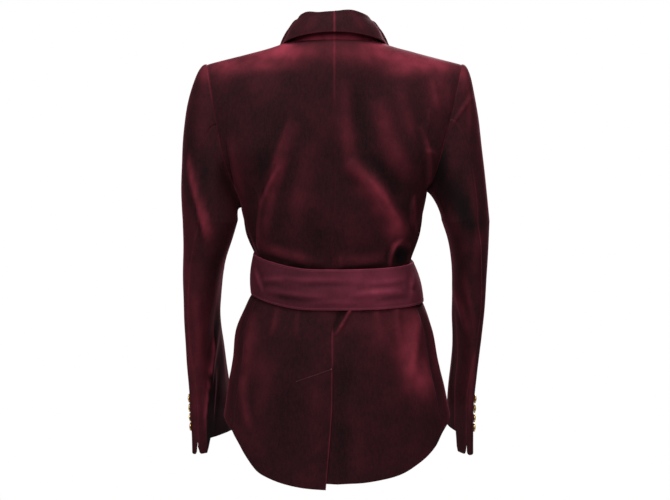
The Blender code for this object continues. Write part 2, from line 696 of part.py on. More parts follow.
def collar_walls(side, word, velvet, parts):
    """Half of the shawl collar, from its centre-back seam round the neck and down the lapel."""
    fall_share = np.linspace(0.0, 1.0, FALL_STEPS + 1)[1:]
    sections = []
    for turn in np.linspace(0.5 * np.pi, 0.0, COLLAR_BACK_STEPS):
        away = np.array([math.cos(turn), math.sin(turn), 0.0])
        up = np.array([0.0, 0.0, 1.0])
        base = neck_point(np.array(turn)) - away * COLLAR_GAP + up * SEAM
        lean = COLLAR_LEAN * (1.0 - COLLAR_BACK_UPRIGHT * math.sin(turn))
        roll = base + up * (COLLAR_STAND - COLLAR_SIDE_LOSS * math.cos(turn)) - away * lean
        edge = np.array(
            [
                COLLAR_EDGE_X * math.cos(turn),
                NECK_Y + COLLAR_EDGE_Y * math.sin(turn),
                COLLAR_EDGE_Z + COLLAR_EDGE_RISE * math.sin(turn) ** COLLAR_EDGE_CURVE,
            ]
        )
        points = collar_stand(base, up, away, roll)
        start = points[-1]
        for share in fall_share:
            bulge = COLLAR_BULGE * math.sin(math.pi * share)
            points.append(start + (edge - start) * share + (away + COLLAR_BULGE_UP * up) * bulge)
        sections.append(points)

    end = (LAPEL_END_Z - HEM_SIDE_Z) / (UNDERARM_Z - HEM_SIDE_Z)
    rows = body_rows()
    for v in np.append(rows[(rows > end) & (rows < 2.0)][::-1], end):
        share = (v - end) / (2.0 - end)
        edge_s = smooth(LAPEL_WIDTH[:, 0], LAPEL_WIDTH[:, 1], share)
        whole = front_panel(np.array([0.0, 1.0]), np.array([v, v]), side)
        first = (ROLL_SECTION[-1, 0] * COLLAR_ROLL - COLLAR_GAP) / np.linalg.norm(whole[1] - whole[0])
        across = np.concatenate([[0.0], first + (edge_s - first) * fall_share])
        spots, normals = faced(front_panel, across, np.full_like(across, v), side, 2.0)
        way = unit(spots[1] - spots[0])
        normal = normals[0]
        left = max(0.0, (share - (1.0 - STAND_END)) / STAND_END)
        stand = COLLAR_STAND * left**STAND_FADE
        up = np.array([LAPEL_LEAN, 0.0, 1.0])
        base = spots[0] - way * COLLAR_GAP + normal * (SEAM * left - CLOTH * (1.0 - left))
        roll = base + up * stand + normal * LAPEL_SET * (1.0 - left)
        points = collar_stand(base, normal, way, roll)
        start = points[-1]
        for k, fade in enumerate(fall_share):
            lie = spots[k + 1] + normals[k + 1] * COLLAR_LIE
            lift = (start - spots[0] - normal * COLLAR_LIE) * (1.0 - fade) ** LAPEL_FADE
            points.append(lie + lift * left + normal * (1.0 - left) * (1.0 - fade))
        sections.append(points)

    outer = np.array(sections)
    round_way = np.gradient(outer, axis=0)
    round_way[0] = np.array([1.0, 0.0, 0.0])
    over_way = np.gradient(outer, axis=1)
    normal = unit(np.cross(round_way, over_way))
    normal *= np.sign(normal[0, -1, 1])
    inner = outer - CLOTH * normal
    outer[0, :, 0] += SEAM / 2.0
    inner[0, :, 0] = outer[0, :, 0]
    wall_object(f"collar_{word}", swayed(outer, side), swayed(inner, side), velvet, parts)


def belt_wall(velvet, parts):
    """Band round the waist, higher at the left, its outer end lapped over the inner end in front."""
    sweep = np.linspace(0.0, 2.0 * np.pi + 2.0 * BELT_LAP_ANGLE, BELT_STEPS)
    angle = np.pi + BELT_LAP_ANGLE - sweep
    ramp = ease(2.0 * np.pi - BELT_RAMP_FROM, 2.0 * np.pi - BELT_RAMP_TO, sweep)
    over = ramp * (BELT_CLOTH + BELT_CLEAR)
    rise = BELT_RISE * ease(BELT_RISE_FROM, BELT_RISE_TO, np.sin(angle))
    dip = BELT_DIP * (1.0 + np.cos(angle)) - rise
    top = ring_point(angle, BELT_TOP_Z - dip)
    bottom = ring_point(angle, BELT_BOTTOM_Z - dip)
    grid = np.stack([bottom, 0.5 * (bottom + top), top])
    inner = moved_out(grid, np.broadcast_to(BELT_CLEAR + over, grid.shape[:2]))
    outer = moved_out(inner, np.full(grid.shape[:2], BELT_CLOTH))
    wall_object("belt", swayed(outer, 1.0), swayed(inner, 1.0), velvet, parts)


def main():
    """Builds every piece of the garment."""
    clear_scene()
    parts = bpy.data.collections.new("belted_blazer")
    bpy.context.scene.collection.children.link(parts)
    velvet = make_material("burgundy_velvet", VELVET_COLOUR, roughness=0.85, sheen=0.6)
    belt_velvet = make_material("belt_velvet", BELT_COLOUR, roughness=0.8, sheen=0.7)
    brass = make_material("button_brass", BRASS_COLOUR, roughness=0.32, metallic=1.0)
    profile = button_profile(brass)
    for side, word in ((1.0, "left"), (-1.0, "right")):
        edge, edge_inner = body_walls(side, word, velvet, parts)
        sleeve_walls(side, word, edge, edge_inner, velvet, parts)
        collar_walls(side, word, velvet, parts)
        cuff_buttons(side, word, profile, parts)
    belt_wall(belt_velvet, parts)


main()
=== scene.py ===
import bpy
import numpy as np
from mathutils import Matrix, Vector


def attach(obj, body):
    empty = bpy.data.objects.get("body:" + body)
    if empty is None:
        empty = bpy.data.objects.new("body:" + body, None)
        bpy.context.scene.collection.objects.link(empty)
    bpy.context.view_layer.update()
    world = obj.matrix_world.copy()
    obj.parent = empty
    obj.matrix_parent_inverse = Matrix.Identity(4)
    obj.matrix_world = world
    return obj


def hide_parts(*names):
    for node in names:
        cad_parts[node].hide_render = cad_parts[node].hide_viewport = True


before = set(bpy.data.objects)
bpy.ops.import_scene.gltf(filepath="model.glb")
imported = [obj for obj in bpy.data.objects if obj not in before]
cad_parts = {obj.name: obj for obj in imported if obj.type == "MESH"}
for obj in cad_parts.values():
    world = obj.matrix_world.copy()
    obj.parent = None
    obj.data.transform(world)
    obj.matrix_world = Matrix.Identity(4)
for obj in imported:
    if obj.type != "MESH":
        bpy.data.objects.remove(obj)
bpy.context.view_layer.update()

# Back panels
# Two panels of burgundy cotton velvet, sewn together at centre back with the pile brushed down.
# Below the waist the seam opens into a vent, where the left panel laps over the right one.

MM = 0.001
SIDES = ((1.0, "left"), (-1.0, "right"))
CLOTH = 2.0
LAP = 2.8
SEAM = 0.04
LEVEL = np.array([1.0, 1.0, 0.0])

# Grids: spacing, extra lines near an edge as shares of a step, and the column and row that are measured
SPACING = 3.2
NEAR_EDGE = np.array([0.12, 0.32, 0.62])
MEASURED_POINTS = 400
MEASURED_COLUMN = 0.6
MEASURED_ROW = 0.95

# Reach and depth of the soft turn where cloth is sewn down into a seam, and at a free edge
SEWN = (3.6, 1.0)
TURNED = (2.2, 0.9)
INNER_DIP = 0.6

# Neckline and shoulder seam, with a swell of the shoulder under the end of the collar's stand
NECK_HALF = 68.0
NECK_BACK = 58.0
NECK_Y = 8.0
NECK_Z = -3.0
NECK_RISE = 3.0
NECK_SHARE = 0.4
NECK_SWELL = 4.0
NECK_SWELL_AT = 73.0
NECK_SWELL_HALF = 9.0
SHOULDER_HALF = 201.0
SHOULDER_DROP = 34.0
TIP_Y = 2.0

# Armhole: height of the underarm, share of its way out to the shoulder that the back runs early, by side,
# and the bell by which the cloth is let down on the left and drawn up on the right: lift, middle, reach
UNDERARM_Z = -250.0
BACK_SCOOP_SHARE = {1: 0.3, -1: 0.06}
SCOOP_POWER = 6.0
UNDERARM_LIFT = {1: -5.0, -1: 20.0}
UNDERARM_AT = (149.0, -257.0)
UNDERARM_REACH = (34.0, 27.0)

# Roundness: how soon the back flattens above the underarm, the power by which its depth falls towards the
# armhole and the share left there, the powers of its arch and of the body's oval, and the hem at the side
FLAT_FROM = 0.35
FLAT_POWER = 2.5
BACK_EDGE_SHARE = 0.58
BACK_ROUND = 2.6
FULLNESS = 2.25
HEM_SIDE_Z = -598.0

# Settling of a panel: passes, half height of the band at the underarm and where it ends at the armhole,
# half width of the band below the neck corner and where it begins and ends
SETTLE_PASSES = 60
SETTLE_BAND = 0.13
SETTLE_ARMHOLE = (1.0, 0.86)
SETTLE_CORNER = 0.14
SETTLE_FROM = (1.0, 1.25)
SETTLE_TO = (2.0, 1.93)

# Rings of the body: height, half width, depth behind and before the middle, sway to the left
RINGS = np.array(
    [
        (-720.0, 200.0, 130.0, 124.0, -4.0),
        (-594.0, 183.0, 122.0, 116.0, -4.0),
        (-557.0, 176.0, 120.0, 114.0, -3.0),
        (-505.0, 164.0, 114.0, 110.0, -1.5),
        (-454.0, 155.0, 104.0, 104.0, 0.0),
        (-418.0, 141.0, 93.0, 97.0, -1.0),
        (-380.0, 122.0, 83.0, 90.0, -0.5),
        (-345.0, 124.0, 92.0, 97.0, 0.5),
        (-300.0, 139.0, 101.0, 114.0, 2.0),
        (-275.0, 145.0, 104.0, 121.0, 1.5),
        (-250.0, 150.0, 105.0, 120.0, 0.0),
    ]
)

# Hem drop below the side: degrees from centre back or front, left back, right back, front
HEM_DROPS = np.array(
    [
        (0.0, 98.0, 89.0, 78.0),
        (15.0, 94.0, 84.5, 74.0),
        (30.0, 83.0, 74.0, 64.0),
        (38.0, 73.0, 63.0, 54.0),
        (46.0, 53.5, 51.0, 42.0),
        (54.0, 32.0, 37.0, 30.0),
        (62.0, 17.0, 20.0, 18.0),
        (75.0, 5.0, 6.0, 6.0),
        (90.0, 0.0, 0.0, 0.0),
    ]
)

# Seam lines: height, centre back to the left, side back and side front in degrees, front edge
LINES = np.array(
    [
        (-600.0, 16.5, 61.0, 118.0, -42.0),
        (-510.0, 6.0, 63.0, 116.0, -42.0),
        (-432.0, 3.0, 65.0, 114.0, -40.0),
        (-378.0, 2.0, 66.0, 113.0, 1.0),
        (-345.0, 2.0, 67.0, 112.0, 1.0),
        (-300.0, 1.5, 71.0, 108.0, 16.0),
        (-275.0, 1.0, 76.0, 105.0, 23.0),
        (-250.0, 0.0, 80.0, 102.0, 30.0),
    ]
)
CENTRE_BACK, SIDE_BACK, SIDE_FRONT, FRONT_EDGE = 1, 2, 3, 4

# Vent: shares of the height from hem to underarm, then the width that lies under the left panel
VENT_TOP = 0.375
VENT_SET = 0.3125
UNDERLAP_FULL = 0.25
UNDERLAP = 38.0
UNDERLAP_FROM = 40.0
UNDERLAP_TO = 14.0

# Form of every fold: points along its run, reach in half widths, share and place of the trough beside
# a leaning one, and how blunt its ends are
FOLD_STEPS = 25
FOLD_REACH = 3.5
TROUGH_SHARE = 0.6
TROUGH_AT = 1.7
FOLD_ENDS = 0.7

# Folds of the back: start x, z, bend x, z, end x, z, half width, height, lean of the trough beside it
BACK_FOLDS = (
    (58.0, -124.0, 80.0, -170.0, 95.0, -224.0, 13.0, 2.6, 0.6),
    (74.0, -176.0, 100.0, -236.0, 112.0, -322.0, 10.0, 3.0, -0.8),
    (84.0, -194.0, 103.0, -226.0, 115.0, -258.0, 3.4, 3.4, 0.7),
    (163.0, -150.0, 151.0, -224.0, 140.0, -285.0, 8.0, 2.4, 0.0),
    (171.0, -156.0, 167.0, -190.0, 159.0, -226.0, 3.0, -3.0, 0.0),
    (30.0, -150.0, 48.0, -230.0, 70.0, -320.0, 18.0, 0.9, 0.4),
    (114.0, -246.0, 122.0, -288.0, 118.0, -330.0, 2.8, 2.6, 0.6),
    (66.0, -110.0, 84.0, -170.0, 112.0, -236.0, 5.0, 1.4, 0.5),
    (-17.0, -60.0, -16.0, -170.0, -30.0, -222.0, 13.0, 2.2, 0.0),
    (-22.0, -186.0, -70.0, -226.0, -112.0, -314.0, 12.0, 5.4, 0.8),
    (-52.0, -214.0, -84.0, -250.0, -110.0, -306.0, 4.0, 2.2, 0.5),
    (-37.0, -56.0, -43.0, -170.0, -60.0, -212.0, 11.0, -3.6, 0.0),
    (-50.0, -176.0, -91.0, -226.0, -116.0, -292.0, 9.0, -3.6, 0.0),
    (-64.0, -90.0, -82.0, -165.0, -124.0, -225.0, 15.0, 3.0, 0.4),
    (-100.0, -70.0, -112.0, -130.0, -140.0, -178.0, 12.0, 1.8, -0.5),
    (-132.0, -132.0, -153.0, -170.0, -148.0, -235.0, 4.5, 3.2, 0.8),
    (-140.0, -176.0, -152.0, -168.0, -160.0, -182.0, 3.5, 2.2, 0.0),
    (-126.0, -240.0, -116.0, -268.0, -127.0, -300.0, 2.4, 3.0, 0.7),
    (-108.0, -311.0, -88.0, -314.0, -86.0, -350.0, 2.4, 3.2, 0.8),
    (-8.0, -332.0, -9.0, -343.0, -12.0, -355.0, 2.6, 1.8, 0.5),
    (-171.0, -42.0, -170.0, -51.0, -168.0, -62.0, 2.4, 1.4, 0.6),
    (-184.0, -60.0, -180.0, -80.0, -176.0, -102.0, 2.4, 1.8, -0.6),
    (-151.0, -56.0, -158.0, -84.0, -161.0, -116.0, 4.0, 1.8, 0.6),
    (-145.0, -106.0, -148.0, -120.0, -144.0, -138.0, 3.0, 1.6, 0.6),
    (-204.0, -94.0, -194.0, -112.0, -176.0, -140.0, 3.2, 2.4, 0.6),
    (124.0, -318.0, 88.0, -333.0, 6.0, -346.0, 9.0, 3.4, 0.0),
    (119.0, -333.0, 84.0, -347.0, 14.0, -358.0, 6.0, -3.0, 0.0),
    (4.0, -342.0, -40.0, -344.0, -82.0, -338.0, 9.0, 2.4, 0.0),
    (-8.0, -354.0, -50.0, -356.0, -86.0, -352.0, 5.0, -2.6, 0.0),
    (40.0, -262.0, 20.0, -310.0, 30.0, -350.0, 14.0, -1.6, 0.0),
    (-31.0, -406.0, -18.0, -432.0, -1.0, -456.0, 2.6, 6.0, 0.8),
    (-15.0, -408.0, -7.0, -430.0, 1.0, -452.0, 4.0, -3.6, 0.0),
    (-134.0, -420.0, -126.0, -470.0, -119.0, -530.0, 9.0, 4.4, -0.6),
    (-112.0, -500.0, -136.0, -526.0, -156.0, -566.0, 14.0, 2.6, 0.5),
    (128.0, -424.0, 134.0, -480.0, 142.0, -560.0, 9.0, 3.0, 0.6),
    (146.0, -520.0, 144.0, -570.0, 132.0, -612.0, 7.0, 2.6, -0.5),
    (88.0, -416.0, 92.0, -432.0, 98.0, -462.0, 5.0, 1.8, 0.6),
    (56.0, -414.0, 60.0, -436.0, 58.0, -470.0, 6.0, 1.4, -0.5),
    (-64.0, -414.0, -66.0, -434.0, -74.0, -466.0, 6.0, 1.6, 0.5),
    (-98.0, -414.0, -98.0, -436.0, -104.0, -476.0, 5.0, 2.0, -0.6),
    (58.0, -450.0, 66.0, -570.0, 82.0, -700.0, 24.0, -1.8, 0.0),
    (-58.0, -450.0, -66.0, -570.0, -78.0, -700.0, 22.0, -1.8, 0.0),
    (104.0, -480.0, 116.0, -560.0, 116.0, -650.0, 18.0, 1.2, 0.0),
    (26.0, -540.0, 30.0, -610.0, 26.0, -700.0, 14.0, 0.8, 0.0),
    (-20.0, -470.0, -26.0, -580.0, -30.0, -700.0, 16.0, 0.8, 0.0),
)

# Form of every tuck: place and half width of its rim, where the rim rises, steepness of the hollow
RIM_AT = 1.35
RIM_HALF = 0.4
RIM_RISE = (-0.6, 0.5)
HOLLOW_STEEP = 1.4

# Tucks pinched by the belt: middle x, z, half width, half height, depth, height of the rim above it
BACK_TUCKS = (
    (-105.0, -337.0, 11.0, 15.0, 8.0, 2.0),
    (62.0, -356.0, 16.0, 7.0, 2.5, 1.2),
)

# Slow waves of hung cloth: radians per mm across and along, height
SLOW_WAVES = ((0.061, 0.017, 0.34), (0.028, -0.043, 0.30), (0.093, 0.052, 0.16), (-0.047, 0.088, 0.14))
SLOW_PHASE = 7.0

# Brushed places of the nap, with painted highlights where light falls on the shoulders and folds and painted
# shade where it fails: middle x, z, half width, half height, lift (less than 0 is darker)
BACK_NAP_AND_PAINTED_LIGHT = (
    (164.0, -37.0, 40.0, 12.0, 0.34),
    (176.0, -46.0, 14.0, 16.0, 0.20),
    (88.0, -19.0, 46.0, 13.0, 0.66),
    (104.0, -41.0, 44.0, 8.0, 0.18),
    (94.0, -212.0, 4.0, 11.0, 0.08),
    (104.0, -231.0, 4.0, 12.0, 0.13),
    (115.0, -251.0, 4.0, 11.0, 0.16),
    (-125.0, -256.0, 2.4, 10.0, 0.28),
    (-126.0, -274.0, 2.4, 12.0, 0.28),
    (-129.0, -291.0, 2.4, 10.0, 0.24),
    (-99.0, -318.0, 7.0, 2.4, 0.22),
    (-91.0, -330.0, 2.6, 10.0, 0.26),
    (-88.0, -345.0, 2.4, 8.0, 0.24),
    (76.0, -7.0, 12.0, 5.0, 0.50),
    (-78.0, -20.0, 44.0, 15.0, 0.42),
    (-70.0, -7.0, 18.0, 6.0, 0.40),
    (-146.0, -34.0, 46.0, 14.0, 0.58),
    (-104.0, -50.0, 26.0, 8.0, 0.18),
    (-160.0, -76.0, 18.0, 34.0, 0.14),
    (0.0, -20.0, 60.0, 16.0, 0.10),
    (-24.0, -150.0, 9.0, 62.0, 0.03),
    (-50.0, -224.0, 18.0, 18.0, 0.19),
    (-74.0, -252.0, 17.0, 22.0, 0.27),
    (-95.0, -290.0, 16.0, 24.0, 0.42),
    (-72.0, -196.0, 12.0, 22.0, -0.03),
    (-92.0, -226.0, 11.0, 22.0, -0.04),
    (-112.0, -262.0, 9.0, 22.0, -0.04),
    (0.0, -140.0, 20.0, 80.0, -0.015),
    (40.0, -130.0, 30.0, 80.0, -0.012),
    (-106.0, -338.0, 10.0, 12.0, -0.16),
    (112.0, -192.0, 18.0, 30.0, -0.05),
    (96.0, -120.0, 50.0, 46.0, -0.015),
    (-118.0, -478.0, 18.0, 46.0, 0.44),
    (-138.0, -528.0, 22.0, 28.0, 0.34),
    (-76.0, -440.0, 40.0, 44.0, 0.10),
    (-70.0, -540.0, 40.0, 50.0, 0.03),
    (-18.0, -600.0, 18.0, 110.0, -0.06),
    (-70.0, -640.0, 50.0, 40.0, 0.025),
)

# Painted highlight on ridges and painted shade in troughs for each mm of height or depth, then lifted pile
# and painted highlight along seams: lift and half width
RIDGE_PAINTED_HIGHLIGHT = 0.055
TROUGH_PAINTED_SHADE = 0.012
SEAM_NAP_AND_HIGHLIGHT = 0.4
SEAM_HIGHLIGHT_HALF = 1.3

# Share of the seam's lifted pile and painted highlight along each edge, with the heights between which it
# comes in
CENTRE_LIGHT = 0.08
CENTRE_MORE = 0.5
CENTRE_NECK = (-120.0, -40.0)
CENTRE_SKIRT = (-438.0, -456.0)
VENT_EDGE_LIGHT = 0.9
ARMHOLE_LIGHT = {"left": 0.9, "right": 0.35}
ARMHOLE_UPPER = (-110.0, -70.0)
ARMHOLE_REST = 0.5
ARMHOLE_LOW_LIGHT = {"left": 0.0, "right": 1.7}
ARMHOLE_LOW = (-125.0, -165.0)
SIDE_SEAM_LIGHT = 0.06
HEM_LIGHT = 0.3
SHOULDER_LIGHT = 0.4

# Centre-back seam, pressed flat, and how far folds die away from the side and the top
CENTRE_SEWN = (3.0, 0.55)
CENTRE_PRESSED = 0.4
BACK_HOLD_SIDE = 7.0
BACK_HOLD_TOP = 10.0


def smooth(knots, values, at):
    """Cubic curve through values at rising knots: 3t^2 - 2t^3 between two ends, plus their slopes."""
    slopes = np.gradient(values, knots)
    low = np.clip(np.searchsorted(knots, at) - 1, 0, len(knots) - 2)
    width = knots[low + 1] - knots[low]
    t = np.clip((at - knots[low]) / width, 0.0, 1.0)
    rise = t * t * (3.0 - 2.0 * t)
    start = t * (1.0 - t) ** 2 * width * slopes[low]
    end = t * t * (t - 1.0) * width * slopes[low + 1]
    return values[low] * (1.0 - rise) + values[low + 1] * rise + start + end


def ease(low, high, at):
    """Soft step, 3t^2 - 2t^3, from 0 at low to 1 at high."""
    t = np.clip((at - low) / (high - low), 0.0, 1.0)
    return t * t * (3.0 - 2.0 * t)


def power(value, exponent):
    """Power of the size of a value, with the value's sign."""
    return np.sign(value) * np.abs(value) ** exponent


def unit(vectors):
    """Vectors divided by their lengths."""
    return vectors / np.maximum(np.linalg.norm(vectors, axis=-1, keepdims=True), 1e-9)


def ring_point(angle, z):
    """Rounded oval of the body: half width times a power of the sine, depth times one of the cosine."""
    wide, back, front = (smooth(RINGS[:, 0], RINGS[:, k], z) for k in (1, 2, 3))
    deep = np.where(np.cos(angle) > 0.0, back, front)
    x = wide * power(np.sin(angle), 2.0 / FULLNESS)
    y = deep * power(np.cos(angle), 2.0 / FULLNESS)
    return np.stack([x, y, z], -1)


def angle_at(x, z):
    """Angle at which the back of the oval reaches x: the oval's formula solved for the angle."""
    wide = smooth(RINGS[:, 0], RINGS[:, 1], z)
    return np.arcsin(power(x / wide, FULLNESS / 2.0))


def line_at(column, z):
    """Value of a seam line at height z, straight between the table's rows."""
    return np.interp(z, LINES[:, 0], LINES[:, column])


def row_height(low):
    """Height of a row at the side, 0 at the hem and 1 at the underarm."""
    return HEM_SIDE_Z + (UNDERARM_Z - HEM_SIDE_Z) * low


def lower_point(angle, low, side, corner=0.0):
    """Body below the underarm: an oval at the row's height, lowered by the hem drop, less a corner's rise,
    times (1 - row)^2."""
    degrees = np.degrees(np.arccos(np.clip(np.abs(np.cos(angle)), 0.0, 1.0)))
    own_back = 1 if side > 0 else 2
    back, front = (smooth(HEM_DROPS[:, 0], HEM_DROPS[:, k], degrees) for k in (own_back, 3))
    hang = np.where(np.cos(angle) > 0.0, back, front) - corner
    return ring_point(angle, row_height(low) - hang * (1.0 - low) ** 2)


def moved_out(points, distance):
    """Points moved level by a distance, away from the upright line through the origin."""
    return points + unit(points * LEVEL) * distance[..., None]


def drawn_up(points, side):
    """Points raised by a bell of their distance from the underarm, where the sleeve draws the cloth up."""
    across = (points[..., 0] - UNDERARM_AT[0]) / UNDERARM_REACH[0]
    along = (points[..., 2] - UNDERARM_AT[1]) / UNDERARM_REACH[1]
    lift = UNDERARM_LIFT[side] * np.exp(-(across**2) - along**2)
    return points + lift[..., None] * np.array([0.0, 0.0, 1.0])


def upper_point(ring, top, flat, turn, round_power, scoop):
    """Body above the underarm: a rounded quarter arch from the underarm ring to the top line, running out
    early by the scoop's share."""
    rise = np.sin(turn) ** (2.0 / round_power)
    fall = np.abs(np.cos(turn)) ** (2.0 / round_power)
    out = scoop * (1.0 - (1.0 - rise) ** SCOOP_POWER) + (1.0 - scoop) * rise
    deep = ring[..., 1] + (flat - ring[..., 1]) * ease(0.0, FLAT_FROM, rise)
    x = ring[..., 0] + (top[..., 0] - ring[..., 0]) * out
    y = top[..., 1] + (deep - top[..., 1]) * fall
    z = ring[..., 2] + (top[..., 2] - ring[..., 2]) * rise
    return np.stack([x, y, z], -1)


def neck_swell(x):
    """Height by which the shoulder swells beside the neck, under the collar: a bell of x."""
    return NECK_SWELL * np.exp(-(((x - NECK_SWELL_AT) / NECK_SWELL_HALF) ** 2))


def shoulder_point(share):
    """Straight shoulder seam, 0 at the neck and 1 at the sleeve, swelling under the collar."""
    x = NECK_HALF + (SHOULDER_HALF - NECK_HALF) * share
    y = NECK_Y + (TIP_Y - NECK_Y) * share
    return np.stack([x, y, NECK_Z - SHOULDER_DROP * share + neck_swell(x)], -1)


def neck_point(turn):
    """Quarter oval of the back neckline, 0 at the shoulder seam and a quarter turn at centre back."""
    x = NECK_HALF * np.cos(turn)
    y = NECK_Y + NECK_BACK * np.sin(turn)
    return np.stack([x, y, NECK_Z + NECK_RISE * np.sin(turn) + neck_swell(x)], -1)


def back_surface(s, v, side):
    """One back panel: s from centre back to the side, v from hem (0) to underarm (1) to top (2)."""
    low = np.clip(v, 0.0, 1.0)
    row = row_height(low)
    under = UNDERLAP * ease(VENT_SET, UNDERLAP_FULL, low) * (side < 0)
    start = angle_at(side * line_at(CENTRE_BACK, row) - under, row)
    angle = start + (np.radians(line_at(SIDE_BACK, row)) - start) * s
    points = lower_point(angle, low, side)
    if side < 0:
        tuck = ease(VENT_TOP, VENT_SET, low) * ease(UNDERLAP_FROM, UNDERLAP_TO, points[..., 0])
        points = moved_out(points, -LAP * tuck)
    neck = neck_point(0.5 * np.pi * (1.0 - s / NECK_SHARE))
    shoulder = shoulder_point((s - NECK_SHARE) / (1.0 - NECK_SHARE))
    top = np.where((s < NECK_SHARE)[..., None], neck, shoulder)
    flat = RINGS[-1, 2] * (1.0 - (1.0 - BACK_EDGE_SHARE) * np.abs(s) ** FLAT_POWER)
    turn = 0.5 * np.pi * np.clip(v - 1.0, 0.0, 1.0)
    upper = upper_point(points, top, flat, turn, BACK_ROUND, BACK_SCOOP_SHARE[side])
    return drawn_up(np.where((v > 1.0)[..., None], upper, points), side)


def running(points, axis):
    """Running length along an axis of a grid: the sum of the steps so far, starting at 0."""
    steps = np.linalg.norm(np.diff(points, axis=axis), axis=-1)
    first = np.zeros_like(np.take(steps, [0], axis=axis))
    return np.cumsum(np.concatenate([first, steps], axis=axis), axis=axis)


def even(curve):
    """Shares that split a sampled curve into steps of about the spacing, with three more near each end."""
    run = running(curve, 0)
    count = max(4, int(run[-1] / SPACING))
    steps = np.interp(np.linspace(0.0, run[-1], count + 1), run, np.linspace(0.0, 1.0, len(curve)))
    ends = [steps[1] * NEAR_EDGE, 1.0 - (1.0 - steps[-2]) * NEAR_EDGE]
    return np.sort(np.concatenate([steps, *ends]))


def panel_grid(surface, side, top):
    """Grids of s and v for a panel, spaced evenly along one measured column and one measured row."""
    dense = np.linspace(0.0, 1.0, MEASURED_POINTS)
    column = np.full_like(dense, MEASURED_COLUMN)
    parts = [even(surface(column, dense + k, side)) + k for k in range(top)]
    columns = even(surface(dense, np.full_like(dense, MEASURED_ROW), side))
    return np.meshgrid(columns, np.unique(np.concatenate(parts).round(9)))


def normals_of(points, outwards):
    """Unit cross product of a grid's two slopes, facing the same way as a rough outward direction."""
    normal = unit(np.cross(np.gradient(points, axis=1), np.gradient(points, axis=0)))
    return normal * np.sign(np.median(np.sum(normal * outwards, axis=-1)))


def settled(points, v, s):
    """Grid whose rows near the underarm are averaged with their neighbours, less towards the armhole,
    and whose columns below the neck corner are averaged likewise, less towards the neckline."""
    level = (0.5 * np.exp(-(((v - 1.0) / SETTLE_BAND) ** 2)) * ease(*SETTLE_ARMHOLE, s))[1:-1, :, None]
    corner = np.exp(-(((s - NECK_SHARE) / SETTLE_CORNER) ** 2)) * ease(*SETTLE_FROM, v) * ease(*SETTLE_TO, v)
    corner = 0.5 * corner[:, 1:-1, None]
    for _ in range(SETTLE_PASSES):
        points[1:-1] += level * (0.5 * (points[:-2] + points[2:]) - points[1:-1])
        points[:, 1:-1] += corner * (0.5 * (points[:, :-2] + points[:, 2:]) - points[:, 1:-1])
    return points


def fold_relief(x, z, folds):
    """Height of folds: a bell across a curved run, less a shallower bell beside it where it leans, times
    a blunt arch along it. The run is a quadratic curve, and the distance is to its nearest chord."""
    total = np.zeros_like(x)
    t = np.linspace(0.0, 1.0, FOLD_STEPS)[:, None]
    for row in folds:
        start, bend, end = (np.array(row[k : k + 2]) for k in (0, 2, 4))
        half, height, lean = row[6:9]
        run = (1.0 - t) ** 2 * start + 2.0 * t * (1.0 - t) * bend + t * t * end
        reach = FOLD_REACH * half
        near = (x > run[:, 0].min() - reach) & (x < run[:, 0].max() + reach)
        near &= (z > run[:, 1].min() - reach) & (z < run[:, 1].max() + reach)
        spot = np.stack([x[near], z[near]], -1)[:, None]
        chord = np.diff(run, axis=0)
        along = np.sum((spot - run[:-1]) * chord, axis=-1) / np.sum(chord**2, axis=-1)
        along = np.clip(along, 0.0, 1.0)
        off = spot - run[:-1] - along[..., None] * chord
        far = np.linalg.norm(off, axis=-1)
        pick = np.argmin(far, axis=1)
        each = np.arange(len(pick))
        share = (pick + along[each, pick]) / len(chord)
        turned = chord[pick, 0] * off[each, pick, 1] - chord[pick, 1] * off[each, pick, 0]
        across = np.sign(turned) * far[each, pick] / half
        trough = TROUGH_SHARE * abs(lean) * np.exp(-((across - TROUGH_AT * np.sign(lean)) ** 2))
        bell = np.exp(-(across**2)) - trough
        total[near] += height * bell * np.clip(4.0 * share * (1.0 - share), 0.0, 1.0) ** FOLD_ENDS
    return total


def tuck_relief(x, z, tucks):
    """Height of pinched tucks: a round hollow with a raised rim over its upper half."""
    total = np.zeros_like(x)
    for middle_x, middle_z, wide, tall, depth, rim in tucks:
        ax, az = (x - middle_x) / wide, (z - middle_z) / tall
        out = np.hypot(ax, az)
        arch = ease(*RIM_RISE, az / np.maximum(out, 0.1))
        raised = rim * arch * np.exp(-(((out - RIM_AT) / RIM_HALF) ** 2))
        total += raised - depth * np.exp(-HOLLOW_STEEP * out**2)
    return total


def patches(x, z, table):
    """Sum of oval patches that fade as a bell."""
    total = np.zeros_like(x)
    for middle_x, middle_z, wide, tall, lift in table:
        total += lift * np.exp(-(((x - middle_x) / wide) ** 2) - ((z - middle_z) / tall) ** 2)
    return total


def unevenness(x, z):
    """Slight unevenness of hung cloth: four waves of unlike length and direction, under 1 mm high."""
    return sum(high * np.sin(a * x + b * z + SLOW_PHASE * high) for a, b, high in SLOW_WAVES)


def to_edges(points):
    """Distances of every grid point to the left, right, bottom and top edge of its panel."""
    across, along = running(points, 1), running(points, 0)
    return across, across[:, -1:] - across, along, along[-1:] - along


def turned_edge(distance, turn):
    """Quarter oval by which cloth dips towards an edge within a reach."""
    reach, depth = turn
    left = 1.0 - np.clip(distance / reach, 0.0, 1.0)
    return depth * (1.0 - np.sqrt(1.0 - left**2))


def cloth_wall(points, normals, relief, turns):
    """Outside and inside of a wall of cloth: points moved out by the relief, dipping at its edges, and
    the same points moved in by the cloth along the folded surface's own normals, less part of the dip."""
    dips = [turned_edge(d, t) for d, t in zip(to_edges(points), turns)]
    dip = np.max(dips, axis=0)[..., None]
    folded = points + normals * relief[..., None]
    inner = folded - CLOTH * normals_of(folded, normals) + INNER_DIP * dip * normals
    return folded - dip * normals, inner


def fold_painted_light(relief):
    """Painted light on folds: lighter with the height of a ridge as a painted highlight, and a little darker
    with the depth of a trough as painted shade.
    """
    return np.where(relief > 0.0, RIDGE_PAINTED_HIGHLIGHT, TROUGH_PAINTED_SHADE) * relief


